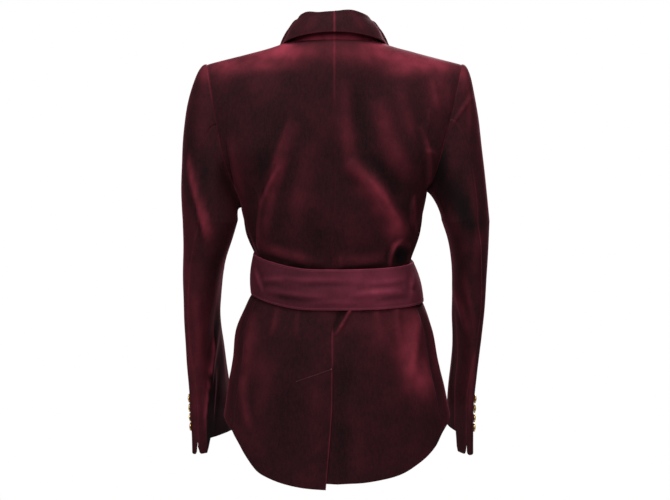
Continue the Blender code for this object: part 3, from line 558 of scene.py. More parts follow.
def seam_nap_and_highlight(points, sewn):
    """Pile lifted and a painted highlight along sewn edges: a bell of the distance to each edge that is
    sewn.
    """
    edges = zip(to_edges(points), sewn)
    return sum(SEAM_NAP_AND_HIGHLIGHT * np.exp(-((d / SEAM_HIGHLIGHT_HALF) ** 2)) * part for d, part in edges)


def set_apart(points, column, inwards, gap):
    """Edge column of a grid moved towards the column beside it by a gap, one value or one for each row."""
    way = unit(points[:, inwards] - points[:, column])
    points[:, column] += way * np.reshape(gap, (-1, 1))


def placed(points, side):
    """Points on their own side of the garment, moved with the sway of the rings."""
    there = points * np.array([side, 1.0, 1.0])
    there[..., 0] += smooth(RINGS[:, 0], RINGS[:, 4], there[..., 2])
    return there


def wall_object(name, outer, inner, nap_and_painted_light, finishes):
    """Closed wall: outer cells, inner cells turned round, and a rim; the pile's lift with its painted
    highlights and painted shade, one for both sides or one for each, is a point attribute."""
    rows, columns = outer.shape[:2]
    count = rows * columns
    index = np.arange(count).reshape(rows, columns)
    a, b = index[:-1, :-1].ravel(), index[:-1, 1:].ravel()
    c, d = index[1:, 1:].ravel(), index[1:, :-1].ravel()
    rim = np.concatenate([index[0, :-1], index[:-1, -1], index[-1, :0:-1], index[:0:-1, 0]])
    after = np.roll(rim, -1)
    outside = np.stack([a, b, c, d], -1)
    inside = np.stack([d, c, b, a], -1) + count
    edge = np.stack([after, rim, rim + count, after + count], -1)
    faces = np.concatenate([outside, inside, edge])
    points = np.concatenate([outer.reshape(-1, 3), inner.reshape(-1, 3)]) * MM
    corners = points[faces]
    halves = np.concatenate([corners[:, [0, 1, 2]], corners[:, [0, 2, 3]]])
    if np.linalg.det(halves).sum() < 0.0:
        faces = faces[:, ::-1]
    mesh = bpy.data.meshes.new(name)
    mesh.vertices.add(len(points))
    mesh.vertices.foreach_set("co", points.ravel())
    mesh.loops.add(faces.size)
    mesh.loops.foreach_set("vertex_index", faces.ravel().astype(np.int32))
    mesh.polygons.add(len(faces))
    mesh.polygons.foreach_set("loop_start", np.arange(len(faces), dtype=np.int32) * 4)
    mesh.polygons.foreach_set("use_smooth", np.arange(len(faces)) < len(outside) + len(inside))
    slots = np.concatenate([np.zeros(len(outside)), np.ones(len(inside)), np.zeros(len(edge))])
    mesh.polygons.foreach_set("material_index", slots.astype(np.int32))
    mesh.update(calc_edges=True)
    both = np.broadcast_to(nap_and_painted_light, (2, rows, columns)).ravel()
    mesh.attributes.new("nap_and_painted_light", "FLOAT", "POINT").data.foreach_set("value", both)
    flat = np.stack([running(outer, 1), running(outer, 0)], -1).reshape(-1, 2) * MM
    flat = np.concatenate([flat, flat])[faces.ravel()]
    mesh.uv_layers.new(name="cloth").uv.foreach_set("vector", flat.ravel().astype(np.float32))
    for finish in finishes:
        mesh.materials.append(finish)
    piece = bpy.data.objects.new(name, mesh)
    bpy.context.scene.collection.objects.link(piece)
    return piece


def add(tree, kind, inputs=None, **settings):
    """Node of a kind, its settings set and its inputs given as values or as sockets to link."""
    made = tree.nodes.new(kind)
    for key, value in settings.items():
        setattr(made, key, value)
    for key, value in (inputs or {}).items():
        if isinstance(value, bpy.types.NodeSocket):
            tree.links.new(value, made.inputs[key])
        else:
            made.inputs[key].default_value = value
    return made


def new_finish(name, values):
    """Material with one Principled shader, its constants set on the shader's own sockets."""
    material = bpy.data.materials.new(name)
    material.use_nodes = True
    shader = material.node_tree.nodes["Principled BSDF"]
    for key, value in values.items():
        shader.inputs[key].default_value = value
    return material, material.node_tree, shader


def weighed(tree, terms, start):
    """Start value plus each socket times its weight, by chained multiply-add nodes."""
    total = start
    for socket, weight in terms:
        inputs = {0: socket, 1: weight, 2: total}
        total = add(tree, "ShaderNodeMath", inputs, operation="MULTIPLY_ADD").outputs[0]
    return total


def velvet(name, deep, lit, start):
    """Cut-pile velvet: a dark ground that goes lighter where the pile stands up and where highlights are
    painted, and darker where shade is painted, by the attribute of pile and painted light, soft mottling,
    short streaks down the pile and a fine grain, under a pink sheen."""
    material, tree, shader = new_finish(
        name,
        {
            "Roughness": 0.85,
            "Specular IOR Level": 0.08,
            "Sheen Weight": 0.16,
            "Sheen Roughness": 0.3,
            "Sheen Tint": (0.90, 0.16, 0.25, 1.0),
        },
    )
    place = add(tree, "ShaderNodeTexCoord").outputs["Object"]
    along = add(tree, "ShaderNodeMapping", {"Vector": place, "Scale": (1.0, 1.0, 0.4)}).outputs[0]
    mottle = add(tree, "ShaderNodeTexNoise", {"Vector": place, "Scale": 42.0, "Detail": 4.0}).outputs[0]
    streak = add(tree, "ShaderNodeTexNoise", {"Vector": along, "Scale": 300.0, "Detail": 3.0}).outputs[0]
    grain = add(tree, "ShaderNodeTexNoise", {"Vector": place, "Scale": 1300.0, "Detail": 1.0}).outputs[0]
    # The attribute carries the pile's lift together with painted highlights and painted shade, which lighten
    # and darken the ground
    nap_and_painted_light = add(tree, "ShaderNodeAttribute", attribute_name="nap_and_painted_light").outputs["Fac"]
    broken = weighed(tree, ((mottle, 1.4),), 0.30)
    painted_and_brushed = add(tree, "ShaderNodeMath", {0: nap_and_painted_light, 1: broken}, operation="MULTIPLY").outputs[0]
    noises = ((mottle, 0.08), (streak, 0.12), (grain, 0.22))
    middle = 0.5 * sum(weight for _, weight in noises)
    level = weighed(tree, ((painted_and_brushed, 1.0), *noises), start - middle)
    ramp = add(tree, "ShaderNodeValToRGB", {"Fac": level})
    ramp.color_ramp.elements[0].color = (*deep, 1.0)
    ramp.color_ramp.elements[1].color = (*lit, 1.0)
    tree.links.new(ramp.outputs["Color"], shader.inputs["Base Color"])
    height = weighed(tree, ((grain, 0.6), (streak, 0.5)), 0.0)
    bump = add(tree, "ShaderNodeBump", {"Height": height, "Strength": 0.35, "Distance": 0.0006})
    tree.links.new(bump.outputs["Normal"], shader.inputs["Normal"])
    return material


def woven_back(name, colour):
    """Wrong side of the velvet: a plain weave, by two crossed waves on the cloth's own map."""
    material, tree, shader = new_finish(name, {"Roughness": 0.92, "Specular IOR Level": 0.15})
    place = add(tree, "ShaderNodeUVMap", uv_map="cloth").outputs["UV"]
    waves = [
        add(
            tree,
            "ShaderNodeTexWave",
            {"Vector": place, "Scale": 420.0, "Distortion": 0.6, "Detail": 1.0},
            bands_direction=way,
        ).outputs["Fac"]
        for way in ("X", "Y")
    ]
    weave = add(tree, "ShaderNodeMath", {0: waves[0], 1: waves[1]}, operation="MULTIPLY").outputs[0]
    ramp = add(tree, "ShaderNodeValToRGB", {"Fac": weave})
    ramp.color_ramp.elements[0].color = (*(0.6 * c for c in colour), 1.0)
    ramp.color_ramp.elements[1].color = (*colour, 1.0)
    tree.links.new(ramp.outputs["Color"], shader.inputs["Base Color"])
    bump = add(tree, "ShaderNodeBump", {"Height": weave, "Strength": 0.4, "Distance": 0.0003})
    tree.links.new(bump.outputs["Normal"], shader.inputs["Normal"])
    return material


def sewing_thread(name):
    """Twisted cotton thread, its plies lighter and darker by a fine noise."""
    material, tree, shader = new_finish(name, {"Roughness": 0.6, "Specular IOR Level": 0.3})
    place = add(tree, "ShaderNodeTexCoord").outputs["Object"]
    plies = add(tree, "ShaderNodeTexNoise", {"Vector": place, "Scale": 1600.0, "Detail": 2.0}).outputs[0]
    ramp = add(tree, "ShaderNodeValToRGB", {"Fac": plies})
    ramp.color_ramp.elements[0].color = (0.09, 0.014, 0.024, 1.0)
    ramp.color_ramp.elements[1].color = (0.36, 0.10, 0.14, 1.0)
    tree.links.new(ramp.outputs["Color"], shader.inputs["Base Color"])
    return material


def stitch_object(name, starts, ends, normals, thick):
    """Row of stitches: each is a spindle from its start to its end, four-sided round its raised middle."""
    sideways = unit(np.cross(normals, ends - starts)) * thick
    lifted = normals * thick
    middle = 0.5 * (starts + ends) + lifted
    ring = [middle + sideways, middle + lifted, middle - sideways, middle - lifted]
    points = np.stack([starts, *ring, ends], 1)
    first_half = [(0, 2, 1), (0, 3, 2), (0, 4, 3), (0, 1, 4)]
    one = np.array([*first_half, (5, 1, 2), (5, 2, 3), (5, 3, 4), (5, 4, 1)])
    faces = (one[None] + points.shape[1] * np.arange(len(starts))[:, None, None]).reshape(-1, 3)
    corners = points.reshape(-1, 3)[faces]
    if np.linalg.det(corners - np.repeat(middle, len(one), axis=0)[:, None]).sum() < 0.0:
        faces = faces[:, ::-1]
    mesh = bpy.data.meshes.new(name)
    mesh.from_pydata((points.reshape(-1, 3) * MM).tolist(), [], faces.tolist())
    mesh.materials.append(thread)
    piece = bpy.data.objects.new(name, mesh)
    bpy.context.scene.collection.objects.link(piece)
    return piece


def stitch_ends(line, pitch, length):
    """Starts and ends of stitches at an even pitch along a line of points, by its running length, and
    the shares of that length at which they start."""
    run = running(line, 0)
    first = np.arange(0.5 * pitch, run[-1] - length, pitch)
    starts, ends = (
        np.stack([np.interp(at, run, line[:, axis]) for axis in range(3)], -1)
        for at in (first, first + length)
    )
    return starts, ends, first / run[-1]


# Sewing at the top of the vent: the slanting line that holds the lap, and the tack at its upper end
VENT_SEWING = ((5.0, -508.0), (33.0, -518.0), (60.0, -528.0))
VENT_TACK = (5.0, -508.0)
VENT_PITCH = 2.6
VENT_STITCH = 1.9
TACK_LENGTH = 3.0
TACK_PITCH = 0.5
TACK_STITCH = 0.6
TACK_HALF = 0.8
THREAD_HALF = 0.3
SEWING_STEPS = 60

thread = sewing_thread("sewing_thread")
burgundy = velvet("burgundy_velvet", (0.0070, 0.0034, 0.0039), (0.26, 0.031, 0.052), 0.074)
backing = woven_back("velvet_backing", (0.035, 0.008, 0.011))

for side, word in SIDES:
    s, v = panel_grid(back_surface, side, 2)
    points = settled(back_surface(s, v, side), v, s)
    set_apart(points, 0, 1, SEAM / 2.0)
    set_apart(points, -1, -2, SEAM / 2.0 * (v[:, 0] <= 1.0))
    points[-1, s[-1] >= NECK_SHARE, 1] += SEAM / 2.0
    normals = normals_of(points, points * LEVEL)
    there = placed(points, side)
    x, z = there[..., 0], there[..., 2]
    _, to_side, _, to_top = to_edges(points)
    hold = ease(0.0, BACK_HOLD_SIDE, to_side) * ease(0.0, BACK_HOLD_TOP, to_top)
    relief = (fold_relief(x, z, BACK_FOLDS) + tuck_relief(x, z, BACK_TUCKS) + unevenness(x, z)) * hold
    # Painted highlights along the centre seam, the vent's edge and the armhole, stronger at some heights
    above_vent = CENTRE_LIGHT + CENTRE_MORE * ease(*CENTRE_NECK, z) + CENTRE_MORE * ease(*CENTRE_SKIRT, z)
    centre_light = np.where(v > VENT_TOP, above_vent, VENT_EDGE_LIGHT * (side > 0))
    armhole_light = ARMHOLE_LIGHT[word] * (ARMHOLE_REST + (1.0 - ARMHOLE_REST) * ease(*ARMHOLE_UPPER, z))
    armhole_light += ARMHOLE_LOW_LIGHT[word] * ease(*ARMHOLE_LOW, z)
    side_light = np.where(v > 1.0, armhole_light, SIDE_SEAM_LIGHT)
    # Pile lift with painted highlights and painted shade, from patches, folds and seams
    nap_and_painted_light = patches(x, z, BACK_NAP_AND_PAINTED_LIGHT) + fold_painted_light(relief)
    nap_and_painted_light += seam_nap_and_highlight(points, (centre_light, side_light, HEM_LIGHT, SHOULDER_LIGHT))
    outer, inner = cloth_wall(points, normals, relief, (CENTRE_SEWN, CENTRE_SEWN, TURNED, SEWN))
    closed = v[:, 0] > VENT_TOP
    outer[closed, 0, 0] = points[closed, 0, 0]
    inner[closed, 0, 0] = points[closed, 0, 0] - CENTRE_PRESSED
    back = wall_object(
        f"back_panel_{word}", placed(outer, side), placed(inner, side), nap_and_painted_light, (burgundy, backing)
    )
    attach(back, "root")
    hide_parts(f"back_{word}")
    if side > 0:
        cloth = placed(outer, side).reshape(-1, 3)
        t = np.linspace(0.0, 1.0, SEWING_STEPS)
        line = np.stack([np.interp(t, [0.0, 0.5, 1.0], [p[k] for p in VENT_SEWING]) for k in (0, 1)], -1)
        tack = np.array(VENT_TACK) + np.stack([0.0 * t, TACK_LENGTH * (t - 0.5)], -1)
        laid = []
        for run, pitch, length in ((line, VENT_PITCH, VENT_STITCH), (tack, TACK_PITCH, TACK_STITCH)):
            nearest = np.argmin(np.linalg.norm(run[:, None] - cloth[None, :, ::2], axis=-1), axis=1)
            depth = cloth[nearest, 1] + THREAD_HALF
            laid.append(stitch_ends(np.stack([run[:, 0], depth, run[:, 1]], -1), pitch, length)[:2])
        tack_starts, tack_ends = laid[1]
        tack_starts[:, 0] -= TACK_HALF
        tack_ends[:, 0] += TACK_HALF
        starts, ends = (np.concatenate([row[k] for row in laid]) for k in (0, 1))
        straight_back = np.tile([0.0, 1.0, 0.0], (len(starts), 1))
        sewing = stitch_object("vent_sewing", starts, ends, straight_back, THREAD_HALF)
        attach(sewing, "root")

# Side panels
# A narrow velvet panel under each sleeve, sewn between the back and the front from armhole to hem.
# Its top is hollowed for the sleeve, and the belt draws it in at the waist.

SCOOP = 10.0
SCOOP_FROM = 0.55
SIDE_HOLD = 12.0
SIDE_HOLD_TOP = 20.0
SIDE_WAVE_SHIFT = 300.0
UNDERARM_LIGHT = 0.5

# Folds of the sides: start y, z, bend y, z, end y, z, half width, height, lean
SIDE_FOLDS = {
    "left": (
        (30.0, -275.0, 12.0, -310.0, 4.0, -345.0, 8.0, 2.6, 0.6),
        (-14.0, -280.0, -20.0, -315.0, -12.0, -346.0, 6.0, 2.0, -0.5),
        (18.0, -415.0, 26.0, -470.0, 34.0, -560.0, 10.0, 3.0, 0.5),
        (-16.0, -415.0, -22.0, -490.0, -30.0, -590.0, 12.0, 2.6, -0.5),
    ),
    "right": (
        (22.0, -270.0, 16.0, -312.0, 20.0, -346.0, 7.0, 2.8, -0.6),
        (-8.0, -285.0, -16.0, -320.0, -18.0, -347.0, 7.0, 2.2, 0.5),
        (24.0, -415.0, 30.0, -490.0, 40.0, -580.0, 11.0, 3.2, -0.5),
        (-10.0, -415.0, -18.0, -470.0, -22.0, -570.0, 10.0, 2.4, 0.5),
    ),
}


def side_surface(s, v, side):
    """One side panel: s from side back to side front, v from hem to armhole, its top dipped by a half
    wave."""
    row = row_height(v)
    start = np.radians(line_at(SIDE_BACK, row))
    angle = start + (np.radians(line_at(SIDE_FRONT, row)) - start) * s
    points = lower_point(angle, v, side)
    dip = SCOOP * np.sin(np.pi * np.clip(s, 0.0, 1.0)) * ease(SCOOP_FROM, 1.0, v)
    return drawn_up(ring_point(angle, points[..., 2] - dip), side)


for side, word in SIDES:
    s, v = panel_grid(side_surface, side, 1)
    points = side_surface(s, v, side)
    set_apart(points, 0, 1, SEAM / 2.0)
    set_apart(points, -1, -2, SEAM / 2.0)
    normals = normals_of(points, points * LEVEL)
    to_back, to_front, _, to_top = to_edges(points)
    hold = ease(0.0, SIDE_HOLD, np.minimum(to_back, to_front)) * ease(0.0, SIDE_HOLD_TOP, to_top)
    y, z = points[..., 1], points[..., 2]
    relief = (fold_relief(y, z, SIDE_FOLDS[word]) + unevenness(y + SIDE_WAVE_SHIFT, z)) * hold
    nap_and_painted_light = fold_painted_light(relief) + seam_nap_and_highlight(points, (SIDE_SEAM_LIGHT, SIDE_SEAM_LIGHT, HEM_LIGHT, UNDERARM_LIGHT))
    outer, inner = cloth_wall(points, normals, relief, (CENTRE_SEWN, CENTRE_SEWN, TURNED, SEWN))
    flank = wall_object(
        f"side_panel_{word}", placed(outer, side), placed(inner, side), nap_and_painted_light, (burgundy, backing)
    )
    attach(flank, "root")
    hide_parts(f"side_{word}")

# Fronts
# Two velvet fronts, turned back above the waist by the collar's lapels and wrapped right over left
# below it. Plainly cut, with rounded lower corners, held shut by the belt alone.

FRONT_SCOOP_SHARE = 0.5
FRONT_EDGE_SHARE = 0.51
FRONT_ROUND_NECK = 1.6
FRONT_ROUND_ARM = 2.3
FRONT_CORNER_RISE = 34.0
FRONT_CORNER_SHARE = 0.24
FRONT_LAP_TOP_Z = -300.0
FRONT_LAP_FULL_Z = -340.0
FRONT_LAP_FROM = 78.0
FRONT_LAP_TO = 52.0
FRONT_WAVE_SHIFT = 700.0
FRONT_ARMHOLE_LIGHT = 0.7

# How far folds die away from the edges, and the shares of the front between which they clear the lapel
FRONT_HOLD = 14.0
LAPEL_CLEAR_Z = -335.0
LAPEL_CLEAR = (0.52, 0.66)

# Heights between which the back's brushed pile and painted shoulder highlight run over the shoulder seam
SHOULDER_SHEEN = (-66.0, -14.0)

# Folds of the fronts: start x, z, bend x, z, end x, z, half width, height, lean
FRONT_FOLDS = (
    (112.0, -228.0, 100.0, -290.0, 84.0, -346.0, 10.0, 3.2, 0.6),
    (132.0, -246.0, 122.0, -300.0, 108.0, -346.0, 8.0, 2.6, -0.5),
    (-110.0, -232.0, -104.0, -292.0, -92.0, -346.0, 10.0, 3.4, -0.6),
    (-134.0, -250.0, -120.0, -306.0, -114.0, -346.0, 7.0, 2.2, 0.5),
    (150.0, -120.0, 146.0, -170.0, 130.0, -224.0, 12.0, 2.0, 0.4),
    (-152.0, -110.0, -144.0, -172.0, -132.0, -230.0, 11.0, 2.2, -0.4),
    (96.0, -414.0, 104.0, -480.0, 116.0, -600.0, 13.0, 3.2, 0.5),
    (58.0, -414.0, 62.0, -500.0, 70.0, -640.0, 18.0, -2.6, 0.0),
    (-92.0, -414.0, -98.0, -490.0, -112.0, -610.0, 14.0, 3.4, -0.5),
    (-50.0, -414.0, -54.0, -510.0, -58.0, -640.0, 20.0, -2.8, 0.0),
    (-18.0, -414.0, -16.0, -436.0, -10.0, -470.0, 6.0, 1.8, 0.5),
    (-72.0, -414.0, -74.0, -436.0, -80.0, -466.0, 6.0, 1.6, -0.5),
    (76.0, -414.0, 80.0, -438.0, 86.0, -470.0, 6.0, 1.8, 0.5),
)


def front_surface(s, v, side):
    """One front: s from its edge to the side, v from hem (0) to underarm (1) to shoulder (2)."""
    low = np.clip(v, 0.0, 1.0)
    row = row_height(low)
    start = np.pi - angle_at(line_at(FRONT_EDGE, row), row)
    angle = start + (np.radians(line_at(SIDE_FRONT, row)) - start) * s
    corner = FRONT_CORNER_RISE * np.clip(1.0 - s / FRONT_CORNER_SHARE, 0.0, 1.0) ** 2
    points = lower_point(angle, low, side, corner)
    if side > 0:
        tuck = ease(FRONT_LAP_TOP_Z, FRONT_LAP_FULL_Z, row)
        tuck = tuck * ease(FRONT_LAP_FROM, FRONT_LAP_TO, points[..., 0])
        points = moved_out(points, -LAP * tuck)
    flat = -RINGS[-1, 3] * (1.0 - (1.0 - FRONT_EDGE_SHARE) * np.abs(s) ** FLAT_POWER)
    turn = 0.5 * np.pi * np.clip(v - 1.0, 0.0, 1.0)
    round_power = FRONT_ROUND_NECK + (FRONT_ROUND_ARM - FRONT_ROUND_NECK) * s
    upper = upper_point(points, shoulder_point(s), flat, turn, round_power, FRONT_SCOOP_SHARE)
    return drawn_up(np.where((v > 1.0)[..., None], upper, points), side)


for side, word in SIDES:
    s, v = panel_grid(front_surface, side, 2)
    points = settled(front_surface(s, v, side), v, s)
    set_apart(points, -1, -2, SEAM / 2.0 * (v[:, 0] <= 1.0))
    points[-1, :, 1] -= SEAM / 2.0
    normals = normals_of(points, points * LEVEL)
    there = placed(points, side)
    x, z = there[..., 0], there[..., 2]
    to_edge, to_side, _, to_top = to_edges(points)
    clear_of_lapel = np.where(z > LAPEL_CLEAR_Z, ease(*LAPEL_CLEAR, s), ease(0.0, FRONT_HOLD, to_edge))
    hold = ease(0.0, FRONT_HOLD, to_side) * ease(0.0, FRONT_HOLD, to_top) * clear_of_lapel
    relief = (fold_relief(x, z, FRONT_FOLDS) + unevenness(x + FRONT_WAVE_SHIFT, z)) * hold
    side_light = np.where(v > 1.0, FRONT_ARMHOLE_LIGHT, SIDE_SEAM_LIGHT)
    nap_and_painted_light = fold_painted_light(relief) + seam_nap_and_highlight(points, (HEM_LIGHT, side_light, HEM_LIGHT, SHOULDER_LIGHT))
    # The back's patches run on to the front near the shoulder, with their painted highlight
    nap_and_painted_light += patches(x, z, BACK_NAP_AND_PAINTED_LIGHT) * ease(*SHOULDER_SHEEN, z)
    outer, inner = cloth_wall(points, normals, relief, (TURNED, CENTRE_SEWN, TURNED, SEWN))
    front = wall_object(
        f"front_panel_{word}", placed(outer, side), placed(inner, side), nap_and_painted_light, (burgundy, backing)
    )
    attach(front, "root")
    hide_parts(f"front_{word}")

# Sleeves
# Two-piece velvet sleeves, an upper and an under piece, set into the armholes over a rounded head.
# They hang a little forward, and the back seam opens into a short vent at the cuff.

# Armhole: points down each side and under it, closer towards the shoulder, and the allowance inside it
ARMHOLE_SEAM = 0.05
ARMHOLE_STEPS = 44
UNDERARM_STEPS = 22
ARMHOLE_CROWD = 1.2
ARMHOLE_INSIDE = 0.98
SLEEVE_ALLOWANCE = 6.0
ALLOWANCE_CLEAR = 0.6

# Length of the sleeves, the drop of the cuff's back and the drift of the vent round the sleeve
SLEEVE_FULLNESS = 2.2
BICEP_Z = -285.0
SLEEVE_STEPS = 50
CUFF_Z = {"left": -637.0, "right": -629.0}
CUFF_LOW_Z = -660.0
CUFF_DROOP_FROM = 40.0
CUFF_DROOP_TO = {"left": 142.0, "right": 160.0}
CUFF_DROOP_STEP = 5.0
CUFF_DROOP_POWER = 9.0
CUFF_CORNER = 5.0
CUFF_CORNER_UP = 26.0
VENT_DRIFT = {"left": 36.0, "right": 46.0}
VENT_DRIFT_HALF = 60.0
VENT_DRIFT_TOP_Z = -400.0
VENT_DRIFT_LOW_Z = -590.0
VENT_HEIGHT = 24.0
VENT_OPEN = 4.0
VENT_SPREAD = 12.0

# Sleeve head: how far it stands out of the armhole and comes down into the sleeve, above and below
CAP_OUT_TOP = 21.0
CAP_OUT_UNDER = 9.0
CAP_LIFT = 0.35
CAP_DOWN_TOP = 150.0
CAP_DOWN_UNDER = 9.0
CAP_SPLAY = {"left": 0.06, "right": -0.11}
CAP_ROWS = 44
CAP_CROWD = 1.25
CAP_HOLD = 8.0

# Turns of the underarm corners and of the long seams, with closer columns beside the seams
BACK_CORNER_TURN = 150.0
FRONT_CORNER_TURN = 210.0
BACK_SEAM_TURN = 70.85
FRONT_SEAM_TURN = 247.7
NEAR_SEAM = np.array([-0.9, -0.25, 0.25, 0.9])
SEAM_COLUMN = 3
SLEEVE_SEWN = (2.4, 0.3)
SLEEVE_SEWN_FROM = (-200.0, -300.0)
UNTURNED = (1.0, 0.0)

# Rings of the sleeves: height, middle x and y, half width, half depth, turn towards the body
SLEEVE_RINGS = {
    "left": np.array(
        [
            (-680.0, 196.0, -29.0, 18.0, 64.0, 26.0),
            (-560.0, 203.5, -26.0, 18.5, 62.0, 22.0),
            (-500.0, 209.5, -22.0, 21.0, 60.0, 18.0),
            (-440.0, 214.0, -16.0, 23.5, 58.0, 13.0),
            (-400.0, 212.5, -10.0, 28.0, 58.0, 9.0),
            (-350.0, 209.0, -4.0, 33.0, 60.0, 6.0),
            (-315.0, 203.0, 0.0, 39.0, 62.0, 3.0),
            (-285.0, 198.5, 3.0, 44.0, 63.0, 0.0),
        ]
    ),
    "right": np.array(
        [
            (-680.0, 204.0, -26.0, 13.0, 63.0, 13.0),
            (-560.0, 207.5, -23.0, 13.5, 61.0, 11.0),
            (-500.0, 213.5, -18.0, 16.0, 60.0, 10.0),
            (-440.0, 216.0, -13.0, 22.0, 58.0, 9.0),
            (-400.0, 217.0, -9.0, 24.5, 58.0, 7.0),
            (-350.0, 217.0, -4.0, 27.5, 60.0, 5.0),
            (-315.0, 214.5, 0.0, 32.0, 62.0, 3.0),
            (-285.0, 209.5, 3.0, 38.0, 63.0, 0.0),
        ]
    ),
}

# Line where the back of the lower sleeve breaks to its inner face: height, degrees round the sleeve
SLEEVE_BREAK = {
    "left": np.array([(-660.0, 142.0), (-600.0, 136.0), (-560.0, 145.0), (-500.0, 168.0), (-430.0, 178.0)]),
    "right": np.array([(-660.0, 160.0), (-620.0, 172.0), (-560.0, 178.0), (-430.0, 180.0)]),
}
BREAK_HALF = 2.0

# Painted shade on the inner face, which is turned from the light, with the degrees and heights between which
# it comes in, and a painted highlight along the break itself
INNER_PAINTED_SHADE = 0.42
INNER_TURN = (250.0, 200.0)
INNER_FROM = (-330.0, -470.0)
BREAK_PAINTED_HIGHLIGHT = 0.24
BREAK_LIGHT_BEFORE = 4.0
BREAK_LIGHT_HALF = 3.0
BREAK_LIGHT_FROM = (-400.0, -470.0)
BREAK_LIGHT_TO = (-650.0, -600.0)

# Lifted pile and painted highlight along the armhole, the long seams and the cuff, and painted light beside
# the long seams near the top that lightens the shade there, with the heights between which each comes in
CAP_LIGHT = 0.3
CAP_LIGHT_REST = 0.2
LONG_SEAM_LIGHT = 0.22
LONG_SEAM_FROM = (-170.0, -240.0)
SEAM_PAINTED_LIGHT = 0.06
SEAM_PAINTED_LIGHT_HALF = 0.6
SEAM_PAINTED_LIGHT_FROM = (-190.0, -150.0)
CUFF_LIGHT = 0.4

# How far a normal faces back before the folds of the back of the sleeve are at full height
FACES_BACK = (-0.1, 0.45)
SLEEVE_WAVE_SHIFT = 900.0

# Folds on the back of the sleeves: start x, z, bend x, z, end x, z, half width, height, lean
SLEEVE_BACK_FOLDS = {
    "left": (
        (229.0, -186.0, 214.0, -260.0, 194.0, -322.0, 6.0, 3.6, 0.7),
        (207.0, -246.0, 198.0, -275.0, 190.0, -312.0, 3.2, 2.6, -0.6),
        (214.0, -262.0, 206.0, -292.0, 200.0, -326.0, 3.0, 1.5, 0.6),
        (222.0, -236.0, 214.0, -280.0, 209.0, -330.0, 4.0, -1.6, 0.0),
        (238.0, -226.0, 238.0, -315.0, 234.0, -400.0, 5.0, 1.6, 0.5),
        (183.0, -425.0, 199.0, -515.0, 207.0, -625.0, 3.2, 3.4, 0.6),
        (192.0, -520.0, 196.0, -580.0, 201.0, -640.0, 2.6, 2.2, -0.5),
        (206.0, -535.0, 209.0, -570.0, 208.0, -615.0, 2.6, 1.8, 0.5),
        (222.0, -380.0, 218.0, -450.0, 212.0, -540.0, 7.0, 1.8, 0.5),
    ),
    "right": (
        (-217.0, -84.0, -199.0, -108.0, -180.0, -136.0, 3.2, 2.6, 0.6),
        (-196.0, -44.0, -193.0, -54.0, -190.0, -64.0, 2.2, 1.4, 0.5),
        (-232.0, -146.0, -238.0, -204.0, -240.0, -262.0, 5.0, 2.0, 0.5),
        (-196.0, -200.0, -206.0, -260.0, -202.0, -330.0, 8.0, -2.4, 0.0),
        (-220.0, -230.0, -226.0, -300.0, -222.0, -380.0, 7.0, 2.2, -0.5),
        (-190.0, -385.0, -203.0, -426.0, -214.0, -468.0, 4.0, 2.6, 0.6),
        (-206.0, -360.0, -212.0, -410.0, -224.0, -450.0, 4.0, 1.6, -0.5),
        (-222.0, -480.0, -220.0, -550.0, -214.0, -630.0, 6.0, 1.6, 0.5),
    ),
}

# Brushed places of the pile on the back of the sleeves, with painted highlights and painted shade: middle x,
# z, half width, half height, lift
SLEEVE_NAP_AND_PAINTED_LIGHT = {
    "left": (
        (204.0, -46.0, 10.0, 20.0, 0.34),
        (226.0, -150.0, 10.0, 30.0, -0.05),
        (203.0, -214.0, 10.0, 36.0, -0.06),
        (228.0, -190.0, 3.5, 13.0, 0.22),
        (223.0, -214.0, 3.5, 14.0, 0.26),
        (218.0, -239.0, 3.5, 14.0, 0.28),
        (210.0, -262.0, 4.0, 13.0, 0.28),
        (203.0, -284.0, 5.0, 20.0, 0.28),
        (194.0, -306.0, 10.0, 26.0, 0.08),
        (212.0, -430.0, 22.0, 60.0, 0.09),
        (214.0, -560.0, 18.0, 90.0, 0.14),
        (234.0, -450.0, 6.0, 120.0, 0.14),
        (226.0, -330.0, 12.0, 60.0, 0.06),
    ),
    "right": (
        (-204.0, -52.0, 9.0, 20.0, 0.26),
        (-228.0, -128.0, 8.0, 56.0, 0.11),
        (-211.0, -108.0, 4.0, 30.0, 0.12),
        (-167.0, -205.0, 11.0, 38.0, -0.13),
        (-184.0, -236.0, 13.0, 26.0, -0.09),
        (-201.0, -264.0, 13.0, 22.0, -0.09),
        (-222.0, -289.0, 12.0, 18.0, -0.09),
        (-186.0, -292.0, 9.0, 24.0, 0.08),
        (-204.0, -318.0, 9.0, 18.0, 0.07),
        (-188.0, -370.0, 10.0, 36.0, -0.08),
        (-232.0, -312.0, 8.0, 18.0, 0.10),
        (-216.0, -540.0, 12.0, 100.0, 0.06),
    ),
}

# Folds on the other sides, by degrees round the sleeve: start, z, bend, z, end, z, half width, height, lean
SLEEVE_ROUND_FOLDS = (
    (215.0, -296.0, 250.0, -316.0, 292.0, -300.0, 5.0, 2.2, 0.6),
    (226.0, -330.0, 262.0, -340.0, 300.0, -326.0, 5.0, 1.8, -0.5),
    (208.0, -362.0, 240.0, -378.0, 280.0, -366.0, 6.0, 2.0, 0.5),
    (300.0, -150.0, 320.0, -220.0, 312.0, -300.0, 9.0, 2.0, 0.5),
    (338.0, -190.0, 350.0, -280.0, 340.0, -380.0, 9.0, 1.6, -0.5),
    (282.0, -420.0, 300.0, -500.0, 290.0, -600.0, 8.0, 1.8, 0.5),
    (330.0, -440.0, 322.0, -520.0, 334.0, -600.0, 8.0, 1.5, -0.4),
    (190.0, -420.0, 204.0, -500.0, 196.0, -600.0, 8.0, 1.6, 0.4),
)
MM_PER_DEGREE = 0.95


